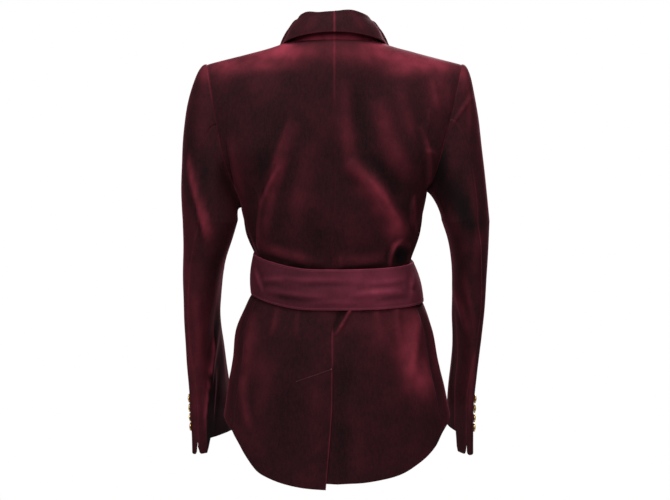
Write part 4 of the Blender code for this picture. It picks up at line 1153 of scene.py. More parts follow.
def armhole(side):
    """Armhole edge from the shoulder down the back, under the arm and up the front, the edge of the seam
    allowance that lies behind it inside the body, and its turns: degrees shared out by running length
    between the shoulder and the two underarm corners."""
    up = np.linspace(0.0, 1.0, ARMHOLE_STEPS)
    one = np.ones_like(up)
    under = np.linspace(0.0, 1.0, UNDERARM_STEPS)[1:-1]
    shares = (1.0, ARMHOLE_INSIDE)
    back, back_in = (back_surface(k * one, 2.0 - up**ARMHOLE_CROWD, side) for k in shares)
    flank, flank_in = (side_surface(under, k * np.ones_like(under), side) for k in shares)
    front, front_in = (front_surface(k * one, 2.0 - (1.0 - up) ** ARMHOLE_CROWD, side) for k in shares)
    edge = np.concatenate([back, flank, front])[:-1]
    away = unit(edge - np.concatenate([back_in, flank_in, front_in])[:-1])
    run = np.append(running(edge, 0), 0.0)
    run[-1] = run[-2] + np.linalg.norm(edge[0] - edge[-1])
    marks = [0, len(up) - 1, len(up) + len(under), len(edge)]
    turns = np.interp(run[:-1], run[marks], [0.0, BACK_CORNER_TURN, FRONT_CORNER_TURN, 360.0])
    away[marks[1:3]] = unit(away[marks[1:3]] + np.array([0.0, 0.0, 1.0]))
    facing = unit(np.cross(np.roll(edge, -1, axis=0) - np.roll(edge, 1, axis=0), away))
    facing *= np.sign(np.median(facing[:, 0]))
    hidden = edge - SLEEVE_ALLOWANCE * away - (CLOTH + ALLOWANCE_CLEAR) * facing
    seams = [turns[np.argmin(np.abs(turns - at))] + NEAR_SEAM for at in (BACK_SEAM_TURN, FRONT_SEAM_TURN)]
    every = np.sort(np.concatenate([turns, *seams]))
    edge, hidden = (
        np.stack([np.interp(every, turns, part[:, k], period=360.0) for k in range(3)], -1)
        for part in (edge + ARMHOLE_SEAM * away, hidden)
    )
    return edge, hidden, np.radians(every)


def sleeve_ring(turn, z, word):
    """Rounded oval of the sleeve at height z, turned towards the body; 0 is outside, 90 degrees back."""
    table = SLEEVE_RINGS[word]
    x, y, half, deep, twist = (smooth(table[:, 0], table[:, k], z) for k in range(1, 6))
    across = half * power(np.cos(turn), 2.0 / SLEEVE_FULLNESS)
    along = deep * power(np.sin(turn), 2.0 / SLEEVE_FULLNESS)
    twist = np.radians(twist)
    px = x + across * np.cos(twist) + along * np.sin(twist)
    py = y + along * np.cos(twist) - across * np.sin(twist)
    return np.stack([px, py, z + 0.0 * turn], -1)


def sleeve_surface(edge, hidden, turn, word):
    """Whole sleeve as a grid with its turns: the seam allowance, a cubic curve from every armhole point to
    the upper-arm ring, then rings down to the cuff, whose back drops between two soft steps. The columns
    drift round with the vent."""
    under = 0.5 - 0.5 * np.cos(turn)
    out = CAP_OUT_TOP + (CAP_OUT_UNDER - CAP_OUT_TOP) * under
    down = CAP_DOWN_TOP + (CAP_DOWN_UNDER - CAP_DOWN_TOP) * under
    lift = np.maximum(CAP_LIFT * np.cos(turn), 0.0)
    splay = CAP_SPLAY[word] * np.maximum(np.cos(turn), 0.0)
    none, one = np.zeros_like(turn), np.ones_like(turn)
    bicep = sleeve_ring(turn, np.full_like(turn, BICEP_Z), word)
    first = edge + np.stack([one, none, lift], -1) * out[:, None]
    second = bicep + np.stack([splay, none, one], -1) * down[:, None]
    t = np.linspace(0.0, 1.0, CAP_ROWS)[:, None, None] ** CAP_CROWD
    cap = (1 - t) ** 3 * edge + 3 * (1 - t) ** 2 * t * first + 3 * (1 - t) * t**2 * second + t**3 * bicep
    degrees = np.degrees(turn)
    drift = VENT_DRIFT[word] * np.exp(-(((degrees - BACK_SEAM_TURN) / VENT_DRIFT_HALF) ** 2))
    last = degrees + drift
    over = ease(CUFF_DROOP_FROM - CUFF_DROOP_STEP, CUFF_DROOP_FROM + CUFF_DROOP_STEP, last)
    before = ease(CUFF_DROOP_TO[word] + CUFF_DROOP_STEP, CUFF_DROOP_TO[word] - CUFF_DROOP_STEP, last)
    droop = (CUFF_LOW_Z - CUFF_Z[word]) * over * before
    top, cuff = np.array([[0.0, 0.0, BICEP_Z], [0.0, 0.0, CUFF_Z[word]]])
    share = even(top + (cuff - top) * np.linspace(0.0, 1.0, SLEEVE_STEPS)[:, None])[1:, None]
    z = BICEP_Z + (CUFF_Z[word] - BICEP_Z) * share + droop * share**CUFF_DROOP_POWER
    drifted = turn + np.radians(drift) * ease(VENT_DRIFT_TOP_Z, VENT_DRIFT_LOW_Z, z)
    turns = np.concatenate([np.tile(turn, (CAP_ROWS + 1, 1)), drifted])
    return np.concatenate([hidden[None], cap, sleeve_ring(drifted, z, word)]), np.degrees(turns)


for side, word in SIDES:
    edge, hidden, turn = armhole(side)
    sleeve, degrees = sleeve_surface(edge, hidden, turn, word)
    looped = np.concatenate([sleeve[:, -1:], sleeve, sleeve[:, :1]], axis=1)
    middle = sleeve.mean(axis=1, keepdims=True)
    normals = normals_of(looped, looped - middle)[:, 1:-1]
    x, z = side * sleeve[..., 0], sleeve[..., 2]
    down = running(sleeve, 0)
    down = np.abs(down - down[1])
    faces_back = ease(*FACES_BACK, normals[..., 1])
    round_folds = [
        tuple(value * (MM_PER_DEGREE if k in (0, 2, 4) else 1.0) for k, value in enumerate(row))
        for row in SLEEVE_ROUND_FOLDS
    ]
    relief = fold_relief(x, z, SLEEVE_BACK_FOLDS[word]) * faces_back
    relief += fold_relief(degrees * MM_PER_DEGREE, z, round_folds) * (1.0 - faces_back)
    relief += unevenness(x + SLEEVE_WAVE_SHIFT + sleeve[..., 1], z)
    relief *= ease(0.0, CAP_HOLD, down)
    bend = np.interp(z, SLEEVE_BREAK[word][:, 0], SLEEVE_BREAK[word][:, 1])
    # Painted shade over the inner face of the lower sleeve
    inner_face_shade = ease(bend - BREAK_HALF, bend + BREAK_HALF, degrees)
    inner_face_shade = inner_face_shade * ease(*INNER_TURN, degrees) * ease(*INNER_FROM, z)
    # Painted highlight along the break, where the back of the sleeve turns to its inner face
    break_highlight = np.exp(-(((degrees - bend + BREAK_LIGHT_BEFORE) / BREAK_LIGHT_HALF) ** 2))
    break_highlight = break_highlight * ease(*BREAK_LIGHT_FROM, z) * ease(*BREAK_LIGHT_TO, z)
    back_seam = int(np.argmin(np.abs(np.degrees(turn) - BACK_SEAM_TURN)))
    front_seam = int(np.argmin(np.abs(np.degrees(turn) - FRONT_SEAM_TURN)))
    height = sleeve[:, back_seam, 2]
    vent = SEAM / 2.0 + VENT_OPEN / 2.0 * ease(height[-1] + VENT_HEIGHT, height[-1], height)
    plain = np.full_like(vent, SEAM / 2.0)
    count = len(turn)
    upper = np.arange(front_seam, count + back_seam + 1) % count
    lower = np.arange(back_seam, front_seam + 1)
    for title, picked, gaps in (("upper", upper, (plain, vent)), ("under", lower, (vent, plain))):
        points = sleeve[:, picked].copy()
        left, right, _, _ = to_edges(points)
        both_ends = ((0, SEAM_COLUMN, left, gaps[0]), (-1, -1 - SEAM_COLUMN, right, gaps[1]))
        for column, inwards, far, gap in both_ends:
            way = unit(points[:, inwards] - points[:, column])
            points += way[:, None] * (gap[:, None] * np.clip(1.0 - far / VENT_SPREAD, 0.0, 1.0))[..., None]
        left, right, _, to_cuff = to_edges(points)
        from_vent = right if title == "upper" else left
        corner = np.clip(1.0 - from_vent / CUFF_CORNER, 0.0, 1.0)
        points[..., 2] += CUFF_CORNER * (1.0 - np.sqrt(1.0 - corner**2)) * ease(CUFF_CORNER_UP, 0.0, to_cuff)
        level, to_seam, from_cap = points[..., 2], np.minimum(left, right), down[:, picked]
        long_seam_highlight = LONG_SEAM_LIGHT * ease(*LONG_SEAM_FROM, level)
        nap_and_painted_light = fold_painted_light(relief[:, picked]) + seam_nap_and_highlight(points, (long_seam_highlight, long_seam_highlight, 0.0, CUFF_LIGHT))
        # Painted highlight along the armhole seam, stronger higher up
        upper_light = CAP_LIGHT_REST + (1.0 - CAP_LIGHT_REST) * ease(*ARMHOLE_UPPER, level)
        nap_and_painted_light += CAP_LIGHT * ARMHOLE_LIGHT[word] * upper_light * np.exp(-((from_cap / SEAM_HIGHLIGHT_HALF) ** 2))
        nap_and_painted_light += BREAK_PAINTED_HIGHLIGHT * break_highlight[:, picked] - INNER_PAINTED_SHADE * inner_face_shade[:, picked]
        # Painted light just beside the long seams near the top, lifting the shade there
        nap_and_painted_light += SEAM_PAINTED_LIGHT * np.exp(-((to_seam / SEAM_PAINTED_LIGHT_HALF) ** 2)) * ease(*SEAM_PAINTED_LIGHT_FROM, level)
        # Pile lift with painted highlights and painted shade on the back of the sleeve
        nap_and_painted_light += patches(side * points[..., 0], level, SLEEVE_NAP_AND_PAINTED_LIGHT[word]) * faces_back[:, picked]
        turns = (UNTURNED, UNTURNED, UNTURNED, TURNED)
        outer, inner = cloth_wall(points, normals[:, picked], relief[:, picked], turns)
        long_dip = turned_edge(to_seam, SLEEVE_SEWN) * ease(*SLEEVE_SEWN_FROM, level)
        outer -= np.maximum(turned_edge(from_cap, SEWN), long_dip)[..., None] * normals[:, picked]
        own = np.array([side, 1.0, 1.0])
        arm = wall_object(f"{title}_sleeve_{word}", outer * own, inner * own, nap_and_painted_light, (burgundy, backing))
        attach(arm, "root")
        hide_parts(f"sleeve_{title}_{word}")

# Collar
# A velvet shawl collar in two halves, sewn together at centre back. Each half stands up round the
# neck, rolls over and falls to a turned edge, and runs on down the front as the lapel.

COLLAR_STAND = 44.0
COLLAR_SIDE_LOSS = 3.0
COLLAR_LEAN = 23.0
COLLAR_BACK_UPRIGHT = 0.7
COLLAR_ROLL = 4.0
COLLAR_GAP = 2.4
COLLAR_SEAM = 0.4
COLLAR_ALLOWANCE = 7.0
COLLAR_LIE = 4.0
COLLAR_EDGE_X = 82.5
COLLAR_EDGE_Y = 74.0
COLLAR_EDGE_Z = -4.5
COLLAR_EDGE_RISE = 16.5
COLLAR_EDGE_CURVE = 1.6
COLLAR_BULGE = 2.0
COLLAR_BULGE_UP = 0.5
COLLAR_BACK_STEPS = 8
FALL_STEPS = 5
LAPEL_ROWS = 14
STAND_END = 0.42
STAND_FADE = 1.5
LAPEL_LEAN = -0.25
LAPEL_SET = 3.0
LAPEL_FADE = 1.3
LAPEL_END_Z = -328.0
SMALL_STEP = 1e-3
ROLL_SECTION = np.array([(-0.1, 0.0), (0.5, 0.8), (1.5, 0.8)])

# Lapel width as a share of the front, from the break (0) up to the shoulder seam (1)
LAPEL_WIDTH = np.array(
    [
        (0.0, 0.06),
        (0.05, 0.15),
        (0.14, 0.30),
        (0.28, 0.48),
        (0.45, 0.56),
        (0.62, 0.50),
        (0.78, 0.30),
        (0.9, 0.15),
        (1.0, 0.125),
    ]
)

# Painted light on the inside of the stand, where it lies in the fall's shade: lift, where it ends across,
# and where it grows and ends along the half
STAND_PAINTED_LIGHT = 0.9
STAND_LIGHT_ACROSS = (26.0, 12.0)
STAND_LIGHT_BACK = 0.7
STAND_LIGHT_MORE = 0.8
STAND_LIGHT_GROWS = (60.0, 110.0)
STAND_LIGHT_ENDS = (190.0, 130.0)

# Unevenness of the roll: run from centre back, half length, lift
COLLAR_WAVES = {
    "left": ((0.0, 14.0, -3.0), (24.0, 16.0, -3.4), (84.0, 20.0, -7.0), (150.0, 30.0, 1.5)),
    "right": ((0.0, 14.0, -3.0), (24.0, 12.0, 0.6), (50.0, 14.0, -1.6), (84.0, 22.0, -10.0)),
}
ROLL_AT = 52.0
ROLL_HALF = 24.0

# Creases of the collar: start, bend and end as mm along the half and across it, half width, height, lean
COLLAR_FOLDS = (
    (24.0, 60.0, 34.0, 78.0, 52.0, 100.0, 9.0, 1.2, 0.5),
    (70.0, 54.0, 76.0, 76.0, 92.0, 96.0, 8.0, 1.6, -0.5),
    (120.0, 50.0, 130.0, 78.0, 150.0, 110.0, 10.0, 1.6, 0.4),
    (230.0, 40.0, 250.0, 64.0, 280.0, 92.0, 12.0, 1.5, -0.4),
    (330.0, 30.0, 350.0, 46.0, 390.0, 60.0, 9.0, 1.4, 0.4),
)
COLLAR_HOLD_EDGE = 10.0
COLLAR_HOLD_ROLL = (50.0, 66.0)
COLLAR_HOLD_SLANT = 0.12
COLLAR_WAVE_SHARE = 0.5
# Lifted pile and painted highlight along the collar's edge, its centre seam and its end
COLLAR_EDGE_LIGHT = 0.35
COLLAR_CENTRE_LIGHT = 0.9
COLLAR_END_LIGHT = 0.2


def collar_stand(hidden, base, up, out, roll):
    """Sections of the collar from its seam allowance up the stand and round the roll, before the fall."""
    rolled = [roll + out * outwards + up * upwards for outwards, upwards in ROLL_SECTION * COLLAR_ROLL]
    return np.stack([hidden, base, 0.5 * (base + roll), *rolled], 1)


def collar_neck(turn, fall):
    """Collar round the back of the neck: the stand leans in from the neckline's oval, and the fall is a
    straight line with a half-wave bulge from the roll to an edge on a wider oval."""
    cos, sin, none = np.cos(turn), np.sin(turn), np.zeros_like(turn)
    up = np.array([0.0, 0.0, 1.0])
    away = np.stack([cos, sin, none], -1)
    base = neck_point(turn) - away * COLLAR_GAP + up * COLLAR_SEAM
    lean = COLLAR_LEAN * (1.0 - COLLAR_BACK_UPRIGHT * sin)
    roll = base + up * (COLLAR_STAND - COLLAR_SIDE_LOSS * cos)[:, None] - away * lean[:, None]
    rise = COLLAR_EDGE_Z + COLLAR_EDGE_RISE * sin**COLLAR_EDGE_CURVE
    edge = np.stack([COLLAR_EDGE_X * cos, NECK_Y + COLLAR_EDGE_Y * sin, rise], -1)
    stand = collar_stand(base - up * COLLAR_ALLOWANCE, base, up, away, roll)
    first = stand[:, -1:]
    bulge = COLLAR_BULGE * np.sin(np.pi * fall)[None, :, None] * (away + COLLAR_BULGE_UP * up)[:, None]
    return np.concatenate([stand, first + (edge[:, None] - first) * fall[None, :, None] + bulge], 1)


def collar_lapel(v, end, fall, side):
    """Collar down the front: the stand shrinks to nothing along the front's edge, and the fall settles
    from the roll on to the front, a fixed distance off it, as far as the lapel's width."""
    share = (v - end) / (2.0 - end)
    wide = smooth(LAPEL_WIDTH[:, 0], LAPEL_WIDTH[:, 1], share)[:, None]
    whole = front_surface(np.ones_like(v), v, side) - front_surface(np.zeros_like(v), v, side)
    begin = (ROLL_SECTION[-1, 0] * COLLAR_ROLL - COLLAR_GAP) / np.linalg.norm(whole, axis=-1)[:, None]
    across = np.concatenate([0.0 * begin, begin + (wide - begin) * fall], 1)
    level = v[:, None] + 0.0 * across
    spots = front_surface(across, level, side)
    above = front_surface(across, np.minimum(level + SMALL_STEP, 2.0), side)
    rising = above - front_surface(across, level - SMALL_STEP, side)
    normals = unit(np.cross(np.gradient(spots, axis=1), rising))
    normals *= -np.sign(normals[..., 1:2])
    way, normal = unit(spots[:, 1] - spots[:, 0]), normals[:, 0]
    left = np.clip((share - (1.0 - STAND_END)) / STAND_END, 0.0, 1.0)[:, None]
    base = spots[:, 0] - way * COLLAR_GAP + normal * (COLLAR_SEAM * left - CLOTH * (1.0 - left))
    up = np.array([LAPEL_LEAN, 0.0, 1.0])
    roll = base + up * COLLAR_STAND * left**STAND_FADE + normal * LAPEL_SET * (1.0 - left)
    hidden = base - np.array([0.0, 0.0, COLLAR_ALLOWANCE]) * left - normal * (1.0 - left)
    stand = collar_stand(hidden, base, normal, way, roll)
    fade = 1.0 - fall[None, :, None]
    lift = (stand[:, -1] - spots[:, 0] - normal * COLLAR_LIE)[:, None] * fade**LAPEL_FADE
    settled_down = spots[:, 1:] + normals[:, 1:] * COLLAR_LIE + lift * left[:, None]
    return np.concatenate([stand, settled_down + normal[:, None] * (1.0 - left)[:, None] * fade], 1)


def collar_sections(side):
    """Coarse sections of one half of the collar, round the neck and then down the lapel."""
    fall = np.linspace(0.0, 1.0, FALL_STEPS + 1)[1:]
    neck = collar_neck(np.linspace(0.5 * np.pi, 0.0, COLLAR_BACK_STEPS), fall)
    end = (LAPEL_END_Z - HEM_SIDE_Z) / (UNDERARM_Z - HEM_SIDE_Z)
    return np.concatenate([neck, collar_lapel(np.linspace(2.0, end, LAPEL_ROWS + 1)[1:], end, fall, side)])


def curved_through(points):
    """Finer rows on cubic curves through the rows of a grid, over their mean running length."""
    knots = running(points, 0).mean(axis=1)
    steps = np.interp(even(knots[:, None]), np.linspace(0.0, 1.0, len(knots)), knots)
    slopes = np.gradient(points, knots, axis=0)
    low = np.clip(np.searchsorted(knots, steps) - 1, 0, len(knots) - 2)
    width = (knots[low + 1] - knots[low])[:, None, None]
    t = (steps - knots[low])[:, None, None] / width
    rise = t * t * (3.0 - 2.0 * t)
    ends = t * (1.0 - t) ** 2 * slopes[low] + t * t * (t - 1.0) * slopes[low + 1]
    return points[low] * (1.0 - rise) + points[low + 1] * rise + ends * width


for side, word in SIDES:
    points = curved_through(collar_sections(side))
    points = curved_through(points.swapaxes(0, 1)).swapaxes(0, 1)
    points[0, :, 0] = SEAM / 2.0
    run, across = running(points, 0), running(points, 1)
    waves = sum(lift * np.exp(-(((run - at) / half) ** 2)) for at, half, lift in COLLAR_WAVES[word])
    points[..., 2] += waves * np.exp(-(((across - ROLL_AT) / ROLL_HALF) ** 2))
    facing = np.cross(np.gradient(points, axis=1), np.gradient(points, axis=0))
    normals = unit(facing) * np.sign(facing[0, -1, 1])
    run, across = running(points, 0), running(points, 1)
    _, to_edge, _, _ = to_edges(points)
    hold = ease(0.0, COLLAR_HOLD_EDGE, to_edge) * ease(*COLLAR_HOLD_ROLL, across + COLLAR_HOLD_SLANT * run)
    relief = fold_relief(run, across, COLLAR_FOLDS) * hold + COLLAR_WAVE_SHARE * unevenness(run, across)
    # Painted light on the inside of the stand, on the inner side of the wall only
    along_stand = STAND_LIGHT_BACK + STAND_LIGHT_MORE * ease(*STAND_LIGHT_GROWS, run)
    stand_painted_light = STAND_PAINTED_LIGHT * ease(*STAND_LIGHT_ACROSS, across) * along_stand * ease(*STAND_LIGHT_ENDS, run)
    nap_and_painted_light = fold_painted_light(relief)
    nap_and_painted_light += seam_nap_and_highlight(points, (0.0, COLLAR_EDGE_LIGHT, COLLAR_CENTRE_LIGHT, COLLAR_END_LIGHT))
    outer, inner = cloth_wall(points, normals, relief, (TURNED, TURNED, CENTRE_SEWN, TURNED))
    outer[0, :, 0] = SEAM / 2.0
    inner[0, :, 0] = SEAM / 2.0 - CENTRE_PRESSED
    both_sides_nap_and_painted_light = np.stack([nap_and_painted_light, nap_and_painted_light + stand_painted_light])
    collar = wall_object(
        f"collar_half_{word}", placed(outer, side), placed(inner, side), both_sides_nap_and_painted_light, (burgundy, burgundy)
    )
    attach(collar, "root")
    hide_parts(f"collar_{word}")

# Belt
# A wide band of the same velvet, doubled and stitched along both edges, with its nap brushed lighter and its
# colour painted lighter for the light it catches.
# It is drawn tight round the waist and its end laps over at the front.

BELT_TOP_Z = -345.0
BELT_BOTTOM_Z = -409.0
BELT_DIP = 5.0
BELT_RISE = 15.0
BELT_RISE_FROM = 0.2
BELT_RISE_TO = 1.25
BELT_CLOTH = 3.0
BELT_CLEAR = 0.8
BELT_LAP_ANGLE = 0.45
BELT_RAMP_FROM = 0.40
BELT_RAMP_TO = 0.08
BELT_ROUND = 3.0
BELT_STEPS = 330
BELT_HOLD = 8.0
BELT_WAVE_SHARE = 0.5
BELT_WAVE_ACROSS = 1.7
BELT_WAVE_ALONG = 2.3
BELT_INNER_DIP = 0.4

# Sewing along the edges: how far in, depth and half width of its ditch, pitch and length of a stitch
STITCH_IN = 3.0
STITCH_DITCH = 0.35
STITCH_DITCH_HALF = 0.8
BELT_PITCH = 3.6
BELT_STITCH = 2.6

# Wrinkles of the belt: start, bend, end as x along it from centre back and height from its lower edge,
# half width, height, lean
BELT_FOLDS = (
    (122.0, 18.0, 70.0, 26.0, 10.0, 21.0, 4.0, 1.8, 0.6),
    (60.0, 36.0, 16.0, 43.0, -40.0, 38.0, 4.0, -1.6, 0.0),
    (96.0, 44.0, 40.0, 50.0, -16.0, 47.0, 4.0, 1.5, -0.5),
    (-18.0, 22.0, -62.0, 31.0, -112.0, 25.0, 4.5, 2.2, -0.6),
    (-50.0, 44.0, -84.0, 40.0, -120.0, 46.0, 4.0, 1.4, 0.5),
    (-60.0, 13.0, -94.0, 19.0, -126.0, 13.0, 4.0, -1.8, 0.0),
    (40.0, 12.0, 4.0, 15.0, -36.0, 11.0, 3.5, 1.2, 0.5),
    (130.0, 30.0, 108.0, 40.0, 82.0, 42.0, 4.0, 1.8, 0.6),
    (152.0, 48.0, 134.0, 30.0, 126.0, 12.0, 5.0, 2.2, -0.5),
    (-140.0, 52.0, -131.0, 34.0, -128.0, 12.0, 5.0, 2.0, 0.5),
    (-122.0, 30.0, -134.0, 24.0, -146.0, 28.0, 4.0, -1.6, 0.0),
    (200.0, 20.0, 240.0, 30.0, 290.0, 24.0, 5.0, 1.6, 0.5),
    (262.0, 44.0, 300.0, 38.0, 336.0, 46.0, 5.0, 1.4, -0.5),
    (-200.0, 40.0, -250.0, 30.0, -300.0, 36.0, 5.0, 1.6, -0.5),
    (-310.0, 16.0, -350.0, 24.0, -390.0, 18.0, 5.0, 1.5, 0.4),
)

# Brushed places of the belt's pile, with painted light and painted shade: middle x along it, height, half
# width, half height, lift
BELT_NAP_AND_PAINTED_LIGHT = (
    (-64.0, 32.0, 70.0, 60.0, 0.17),
    (-70.0, 26.0, 26.0, 6.0, 0.14),
    (-20.0, 46.0, 60.0, 8.0, 0.06),
    (60.0, 16.0, 46.0, 8.0, -0.06),
    (90.0, 36.0, 50.0, 40.0, -0.07),
)
# Painted highlight on the belt's ridges and painted shade in its troughs for each mm, then lifted pile and
# painted highlight along its ends and edges
BELT_FOLD_PAINTED_LIGHT = 0.08
BELT_END_LIGHT = 0.2
BELT_LOW_LIGHT = 0.8
BELT_TOP_LIGHT = 1.0

# A lighter copy of the velvet: its pile runs across, and its colour is painted lighter for the light the
# belt catches
belt_velvet = velvet("belt_velvet", (0.018, 0.0050, 0.0076), (0.30, 0.044, 0.080), 0.215)
sweep = np.linspace(0.0, 2.0 * np.pi + 2.0 * BELT_LAP_ANGLE, BELT_STEPS)
angle = np.pi + BELT_LAP_ANGLE - sweep
ramp = ease(2.0 * np.pi - BELT_RAMP_FROM, 2.0 * np.pi - BELT_RAMP_TO, sweep)
dip = BELT_DIP * (1.0 + np.cos(angle)) - BELT_RISE * ease(BELT_RISE_FROM, BELT_RISE_TO, np.sin(angle))
top = ring_point(angle, BELT_TOP_Z - dip)
bottom = ring_point(angle, BELT_BOTTOM_Z - dip)
share = even(np.array([[0.0, BELT_BOTTOM_Z], [0.0, BELT_TOP_Z]]))[:, None, None]
points = bottom + (top - bottom) * share
stand = BELT_CLEAR + ramp * (BELT_CLOTH + BELT_CLEAR) + BELT_CLOTH
stand = stand + BELT_ROUND * np.sin(np.pi * share[..., 0])
points = moved_out(points, stand)
normals = normals_of(points, points * LEVEL)
around = running(points, 1)
middle = around[:, [int(np.argmin(np.abs(angle)))]]
x, up = middle - around, running(points, 0)
left, right, low, high = to_edges(points)
relief = fold_relief(x, up, BELT_FOLDS) * ease(0.0, BELT_HOLD, np.minimum(low, high))
relief += BELT_WAVE_SHARE * unevenness(x * BELT_WAVE_ACROSS, up * BELT_WAVE_ALONG)
sewn_in = [np.exp(-(((d - STITCH_IN) / STITCH_DITCH_HALF) ** 2)) for d in (low, high, right)]
ditch = STITCH_DITCH * sum(sewn_in)
nap_and_painted_light = patches(x, up, BELT_NAP_AND_PAINTED_LIGHT) + BELT_FOLD_PAINTED_LIGHT * relief
nap_and_painted_light += seam_nap_and_highlight(points, (BELT_END_LIGHT, BELT_END_LIGHT, BELT_LOW_LIGHT, BELT_TOP_LIGHT))
dips = np.max([turned_edge(d, TURNED) for d in (left, right, low, high)], axis=0)
outer = points + normals * (relief - ditch - dips)[..., None]
inner = points - normals * (BELT_CLOTH - BELT_INNER_DIP * dips)[..., None]
belt = wall_object("belt_band", placed(outer, 1.0), placed(inner, 1.0), nap_and_painted_light, (belt_velvet, belt_velvet))
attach(belt, "root")
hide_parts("belt")

sewn_rows = [int(np.argmin(np.abs(d[:, 0] - STITCH_IN))) for d in (low, high)]
starts, ends, faces = [], [], []
for row in sewn_rows:
    first, last, share_along = stitch_ends(placed(outer, 1.0)[row], BELT_PITCH, BELT_STITCH)
    column = np.clip((share_along * (BELT_STEPS - 1)).astype(int), 0, BELT_STEPS - 1)
    starts.append(first)
    ends.append(last)
    faces.append(normals[row, column])
starts, ends, faces = (np.concatenate(part) for part in (starts, ends, faces))
belt_sewing = stitch_object("belt_sewing", starts, ends, faces, THREAD_HALF)
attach(belt_sewing, "root")

# Cuff buttons
# Four small domed brass buttons on each upper sleeve, sewn in a row up from the cuff.
# Each is turned with a raised rim round a shallow groove and a low dome.

BUTTON_SEAT = 0.4
BUTTON_TURN = 46.0
BUTTON_TOP_Z = -572.0
BUTTON_PITCH = 15.5
BUTTON_COUNT = 4
BUTTON_SIDES = 48
BUTTON_DOME = 3.42

# Section of a button from its back round the rim to near the middle of the dome: radius, height
BUTTON_SECTION = np.array(
    [
        (6.2, 0.0),
        (6.8, 0.25),
        (7.0, 0.8),
        (7.0, 1.5),
        (6.8, 2.0),
        (6.4, 2.2),
        (6.0, 2.1),
        (5.75, 1.8),
        (5.5, 1.75),
        (5.2, 2.0),
        (4.2, 2.75),
        (2.8, 3.2),
        (1.4, 3.38),
    ]
)


def polished_brass(name):
    """Polished brass, a little darker and rougher where fine scratches and handling have dulled it."""
    material, tree, shader = new_finish(name, {"Metallic": 1.0, "Roughness": 0.26})
    place = add(tree, "ShaderNodeTexCoord").outputs["Object"]
    dull = add(tree, "ShaderNodeTexNoise", {"Vector": place, "Scale": 420.0, "Detail": 4.0}).outputs[0]
    ramp = add(tree, "ShaderNodeValToRGB", {"Fac": dull})
    ramp.color_ramp.elements[0].color = (0.60, 0.34, 0.09, 1.0)
    ramp.color_ramp.elements[1].color = (0.95, 0.66, 0.26, 1.0)
    tree.links.new(ramp.outputs["Color"], shader.inputs["Base Color"])
    rough = add(tree, "ShaderNodeMapRange", {"Value": dull, "To Min": 0.18, "To Max": 0.36}).outputs[0]
    tree.links.new(rough, shader.inputs["Roughness"])
    return material


brass = polished_brass("button_brass")
spin = np.linspace(0.0, 2.0 * np.pi, BUTTON_SIDES, endpoint=False)
for side, word in SIDES:
    turn = np.radians(BUTTON_TURN)
    for number in range(BUTTON_COUNT):
        z = np.array(BUTTON_TOP_Z - BUTTON_PITCH * number)
        spot = sleeve_ring(turn, z, word)
        round_way = sleeve_ring(turn + SMALL_STEP, z, word) - sleeve_ring(turn - SMALL_STEP, z, word)
        up_way = sleeve_ring(turn, z + 1.0, word) - sleeve_ring(turn, z - 1.0, word)
        axis = unit(np.cross(round_way, up_way))
        axis = axis * np.sign(axis[0])
        first = unit(np.cross(up_way, axis))
        second = np.cross(axis, first)
        circle = np.cos(spin)[:, None] * first + np.sin(spin)[:, None] * second
        radius, lift = BUTTON_SECTION[:, :1, None], BUTTON_SECTION[:, 1:, None]
        rings = spot + axis * (BUTTON_SEAT + lift) + circle[None] * radius
        poles = spot + axis * (BUTTON_SEAT + np.array([[0.0], [BUTTON_DOME]]))
        points = np.concatenate([poles, rings.reshape(-1, 3)]) * np.array([side, 1.0, 1.0]) * MM
        index = len(poles) + np.arange(len(BUTTON_SECTION) * BUTTON_SIDES).reshape(-1, BUTTON_SIDES)
        after = np.roll(index, -1, axis=1)
        bands = np.stack([index[:-1], after[:-1], after[1:], index[1:]], -1).reshape(-1, 4)
        under = np.stack([0 * index[0], after[0], index[0]], -1)
        dome = np.stack([index[-1], after[-1], 0 * index[-1] + 1], -1)
        faces = [face for part in (bands, under, dome) for face in part[:, :: int(side)].tolist()]
        mesh = bpy.data.meshes.new(f"cuff_button_{word}_{number + 1}")
        mesh.from_pydata(points.tolist(), [], faces)
        mesh.polygons.foreach_set("use_smooth", np.ones(len(faces), bool))
        mesh.materials.append(brass)
        button = bpy.data.objects.new(mesh.name, mesh)
        bpy.context.scene.collection.objects.link(button)
        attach(button, "root")
        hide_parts(f"button_{word}_{number + 1}")

# Studio
# A pale floor well below the garment, soft light from all round with a large lamp above, one behind
# the camera and one before the garment, and the camera behind the garment.

FLOOR_Z = -1.42
FLOOR_RADIUS = 1.1
FLOOR_SIDES = 128
ROOM_LIGHT = 0.22
CAMERA_PLACE = (0.0, 2.6, -0.10)
CAMERA_AIM = (-0.001, 0.0, -0.333)
CAMERA_LENS = 87.31
CAMERA_SENSOR = 36.0

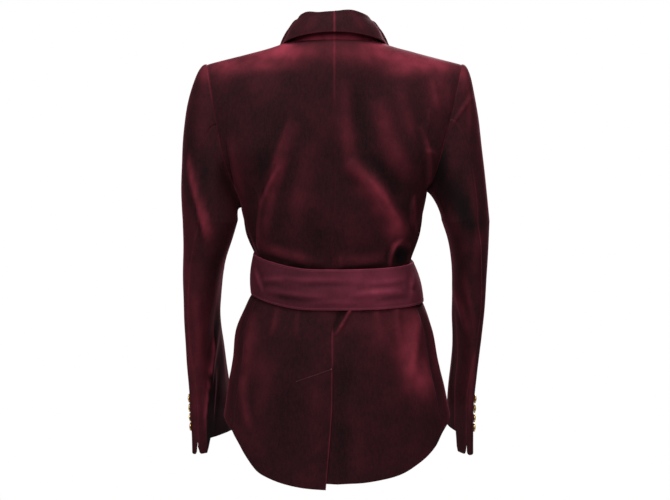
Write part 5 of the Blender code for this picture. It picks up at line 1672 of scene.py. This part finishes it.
floor_turn = np.linspace(0.0, 2.0 * np.pi, FLOOR_SIDES, endpoint=False)
floor_ring = np.stack([np.cos(floor_turn), np.sin(floor_turn), 0.0 * floor_turn], -1) * FLOOR_RADIUS
floor_mesh = bpy.data.meshes.new("floor")
floor_mesh.from_pydata((floor_ring + (0.0, 0.0, FLOOR_Z)).tolist(), [], [list(range(FLOOR_SIDES))])
paper, _, _ = new_finish("floor_paper", {"Base Color": (0.93, 0.93, 0.93, 1.0), "Roughness": 0.9})
floor_mesh.materials.append(paper)
floor = bpy.data.objects.new("floor", floor_mesh)
bpy.context.scene.collection.objects.link(floor)

world = bpy.data.worlds.new("studio")
world.use_nodes = True
seen = add(world.node_tree, "ShaderNodeLightPath").outputs["Is Camera Ray"]
strength = add(
    world.node_tree, "ShaderNodeMapRange", {"Value": seen, "To Min": ROOM_LIGHT, "To Max": 1.0}
).outputs[0]
world.node_tree.nodes["Background"].inputs["Color"].default_value = (1.0, 1.0, 1.0, 1.0)
world.node_tree.links.new(strength, world.node_tree.nodes["Background"].inputs["Strength"])
bpy.context.scene.world = world

# Lamps: name, place, aim, width, power in watts
LAMPS = (
    ("lamp_above", (0.0, 0.7, 1.5), (0.0, 0.0, -0.1), 1.2, 34.0),
    ("lamp_behind_camera", (0.7, 3.0, 1.0), (0.0, 0.0, -0.35), 1.2, 40.0),
    ("lamp_before", (-0.9, -2.8, 1.2), (0.0, 0.0, -0.35), 1.2, 85.0),
)
for name, place, aim, width, watts in LAMPS:
    light = bpy.data.lights.new(name, "AREA")
    light.size = width
    light.energy = watts
    lamp = bpy.data.objects.new(name, light)
    lamp.location = place
    lamp.rotation_euler = (Vector(aim) - Vector(place)).to_track_quat("-Z", "Y").to_euler()
    bpy.context.scene.collection.objects.link(lamp)

camera_data = bpy.data.cameras.new("camera")
camera_data.lens = CAMERA_LENS
camera_data.sensor_width = CAMERA_SENSOR
camera = bpy.data.objects.new("camera", camera_data)
camera.location = CAMERA_PLACE
camera.rotation_euler = (Vector(CAMERA_AIM) - Vector(CAMERA_PLACE)).to_track_quat("-Z", "Y").to_euler()
bpy.context.scene.collection.objects.link(camera)
bpy.context.scene.camera = camera
bpy.context.scene.view_settings.view_transform = "Standard"
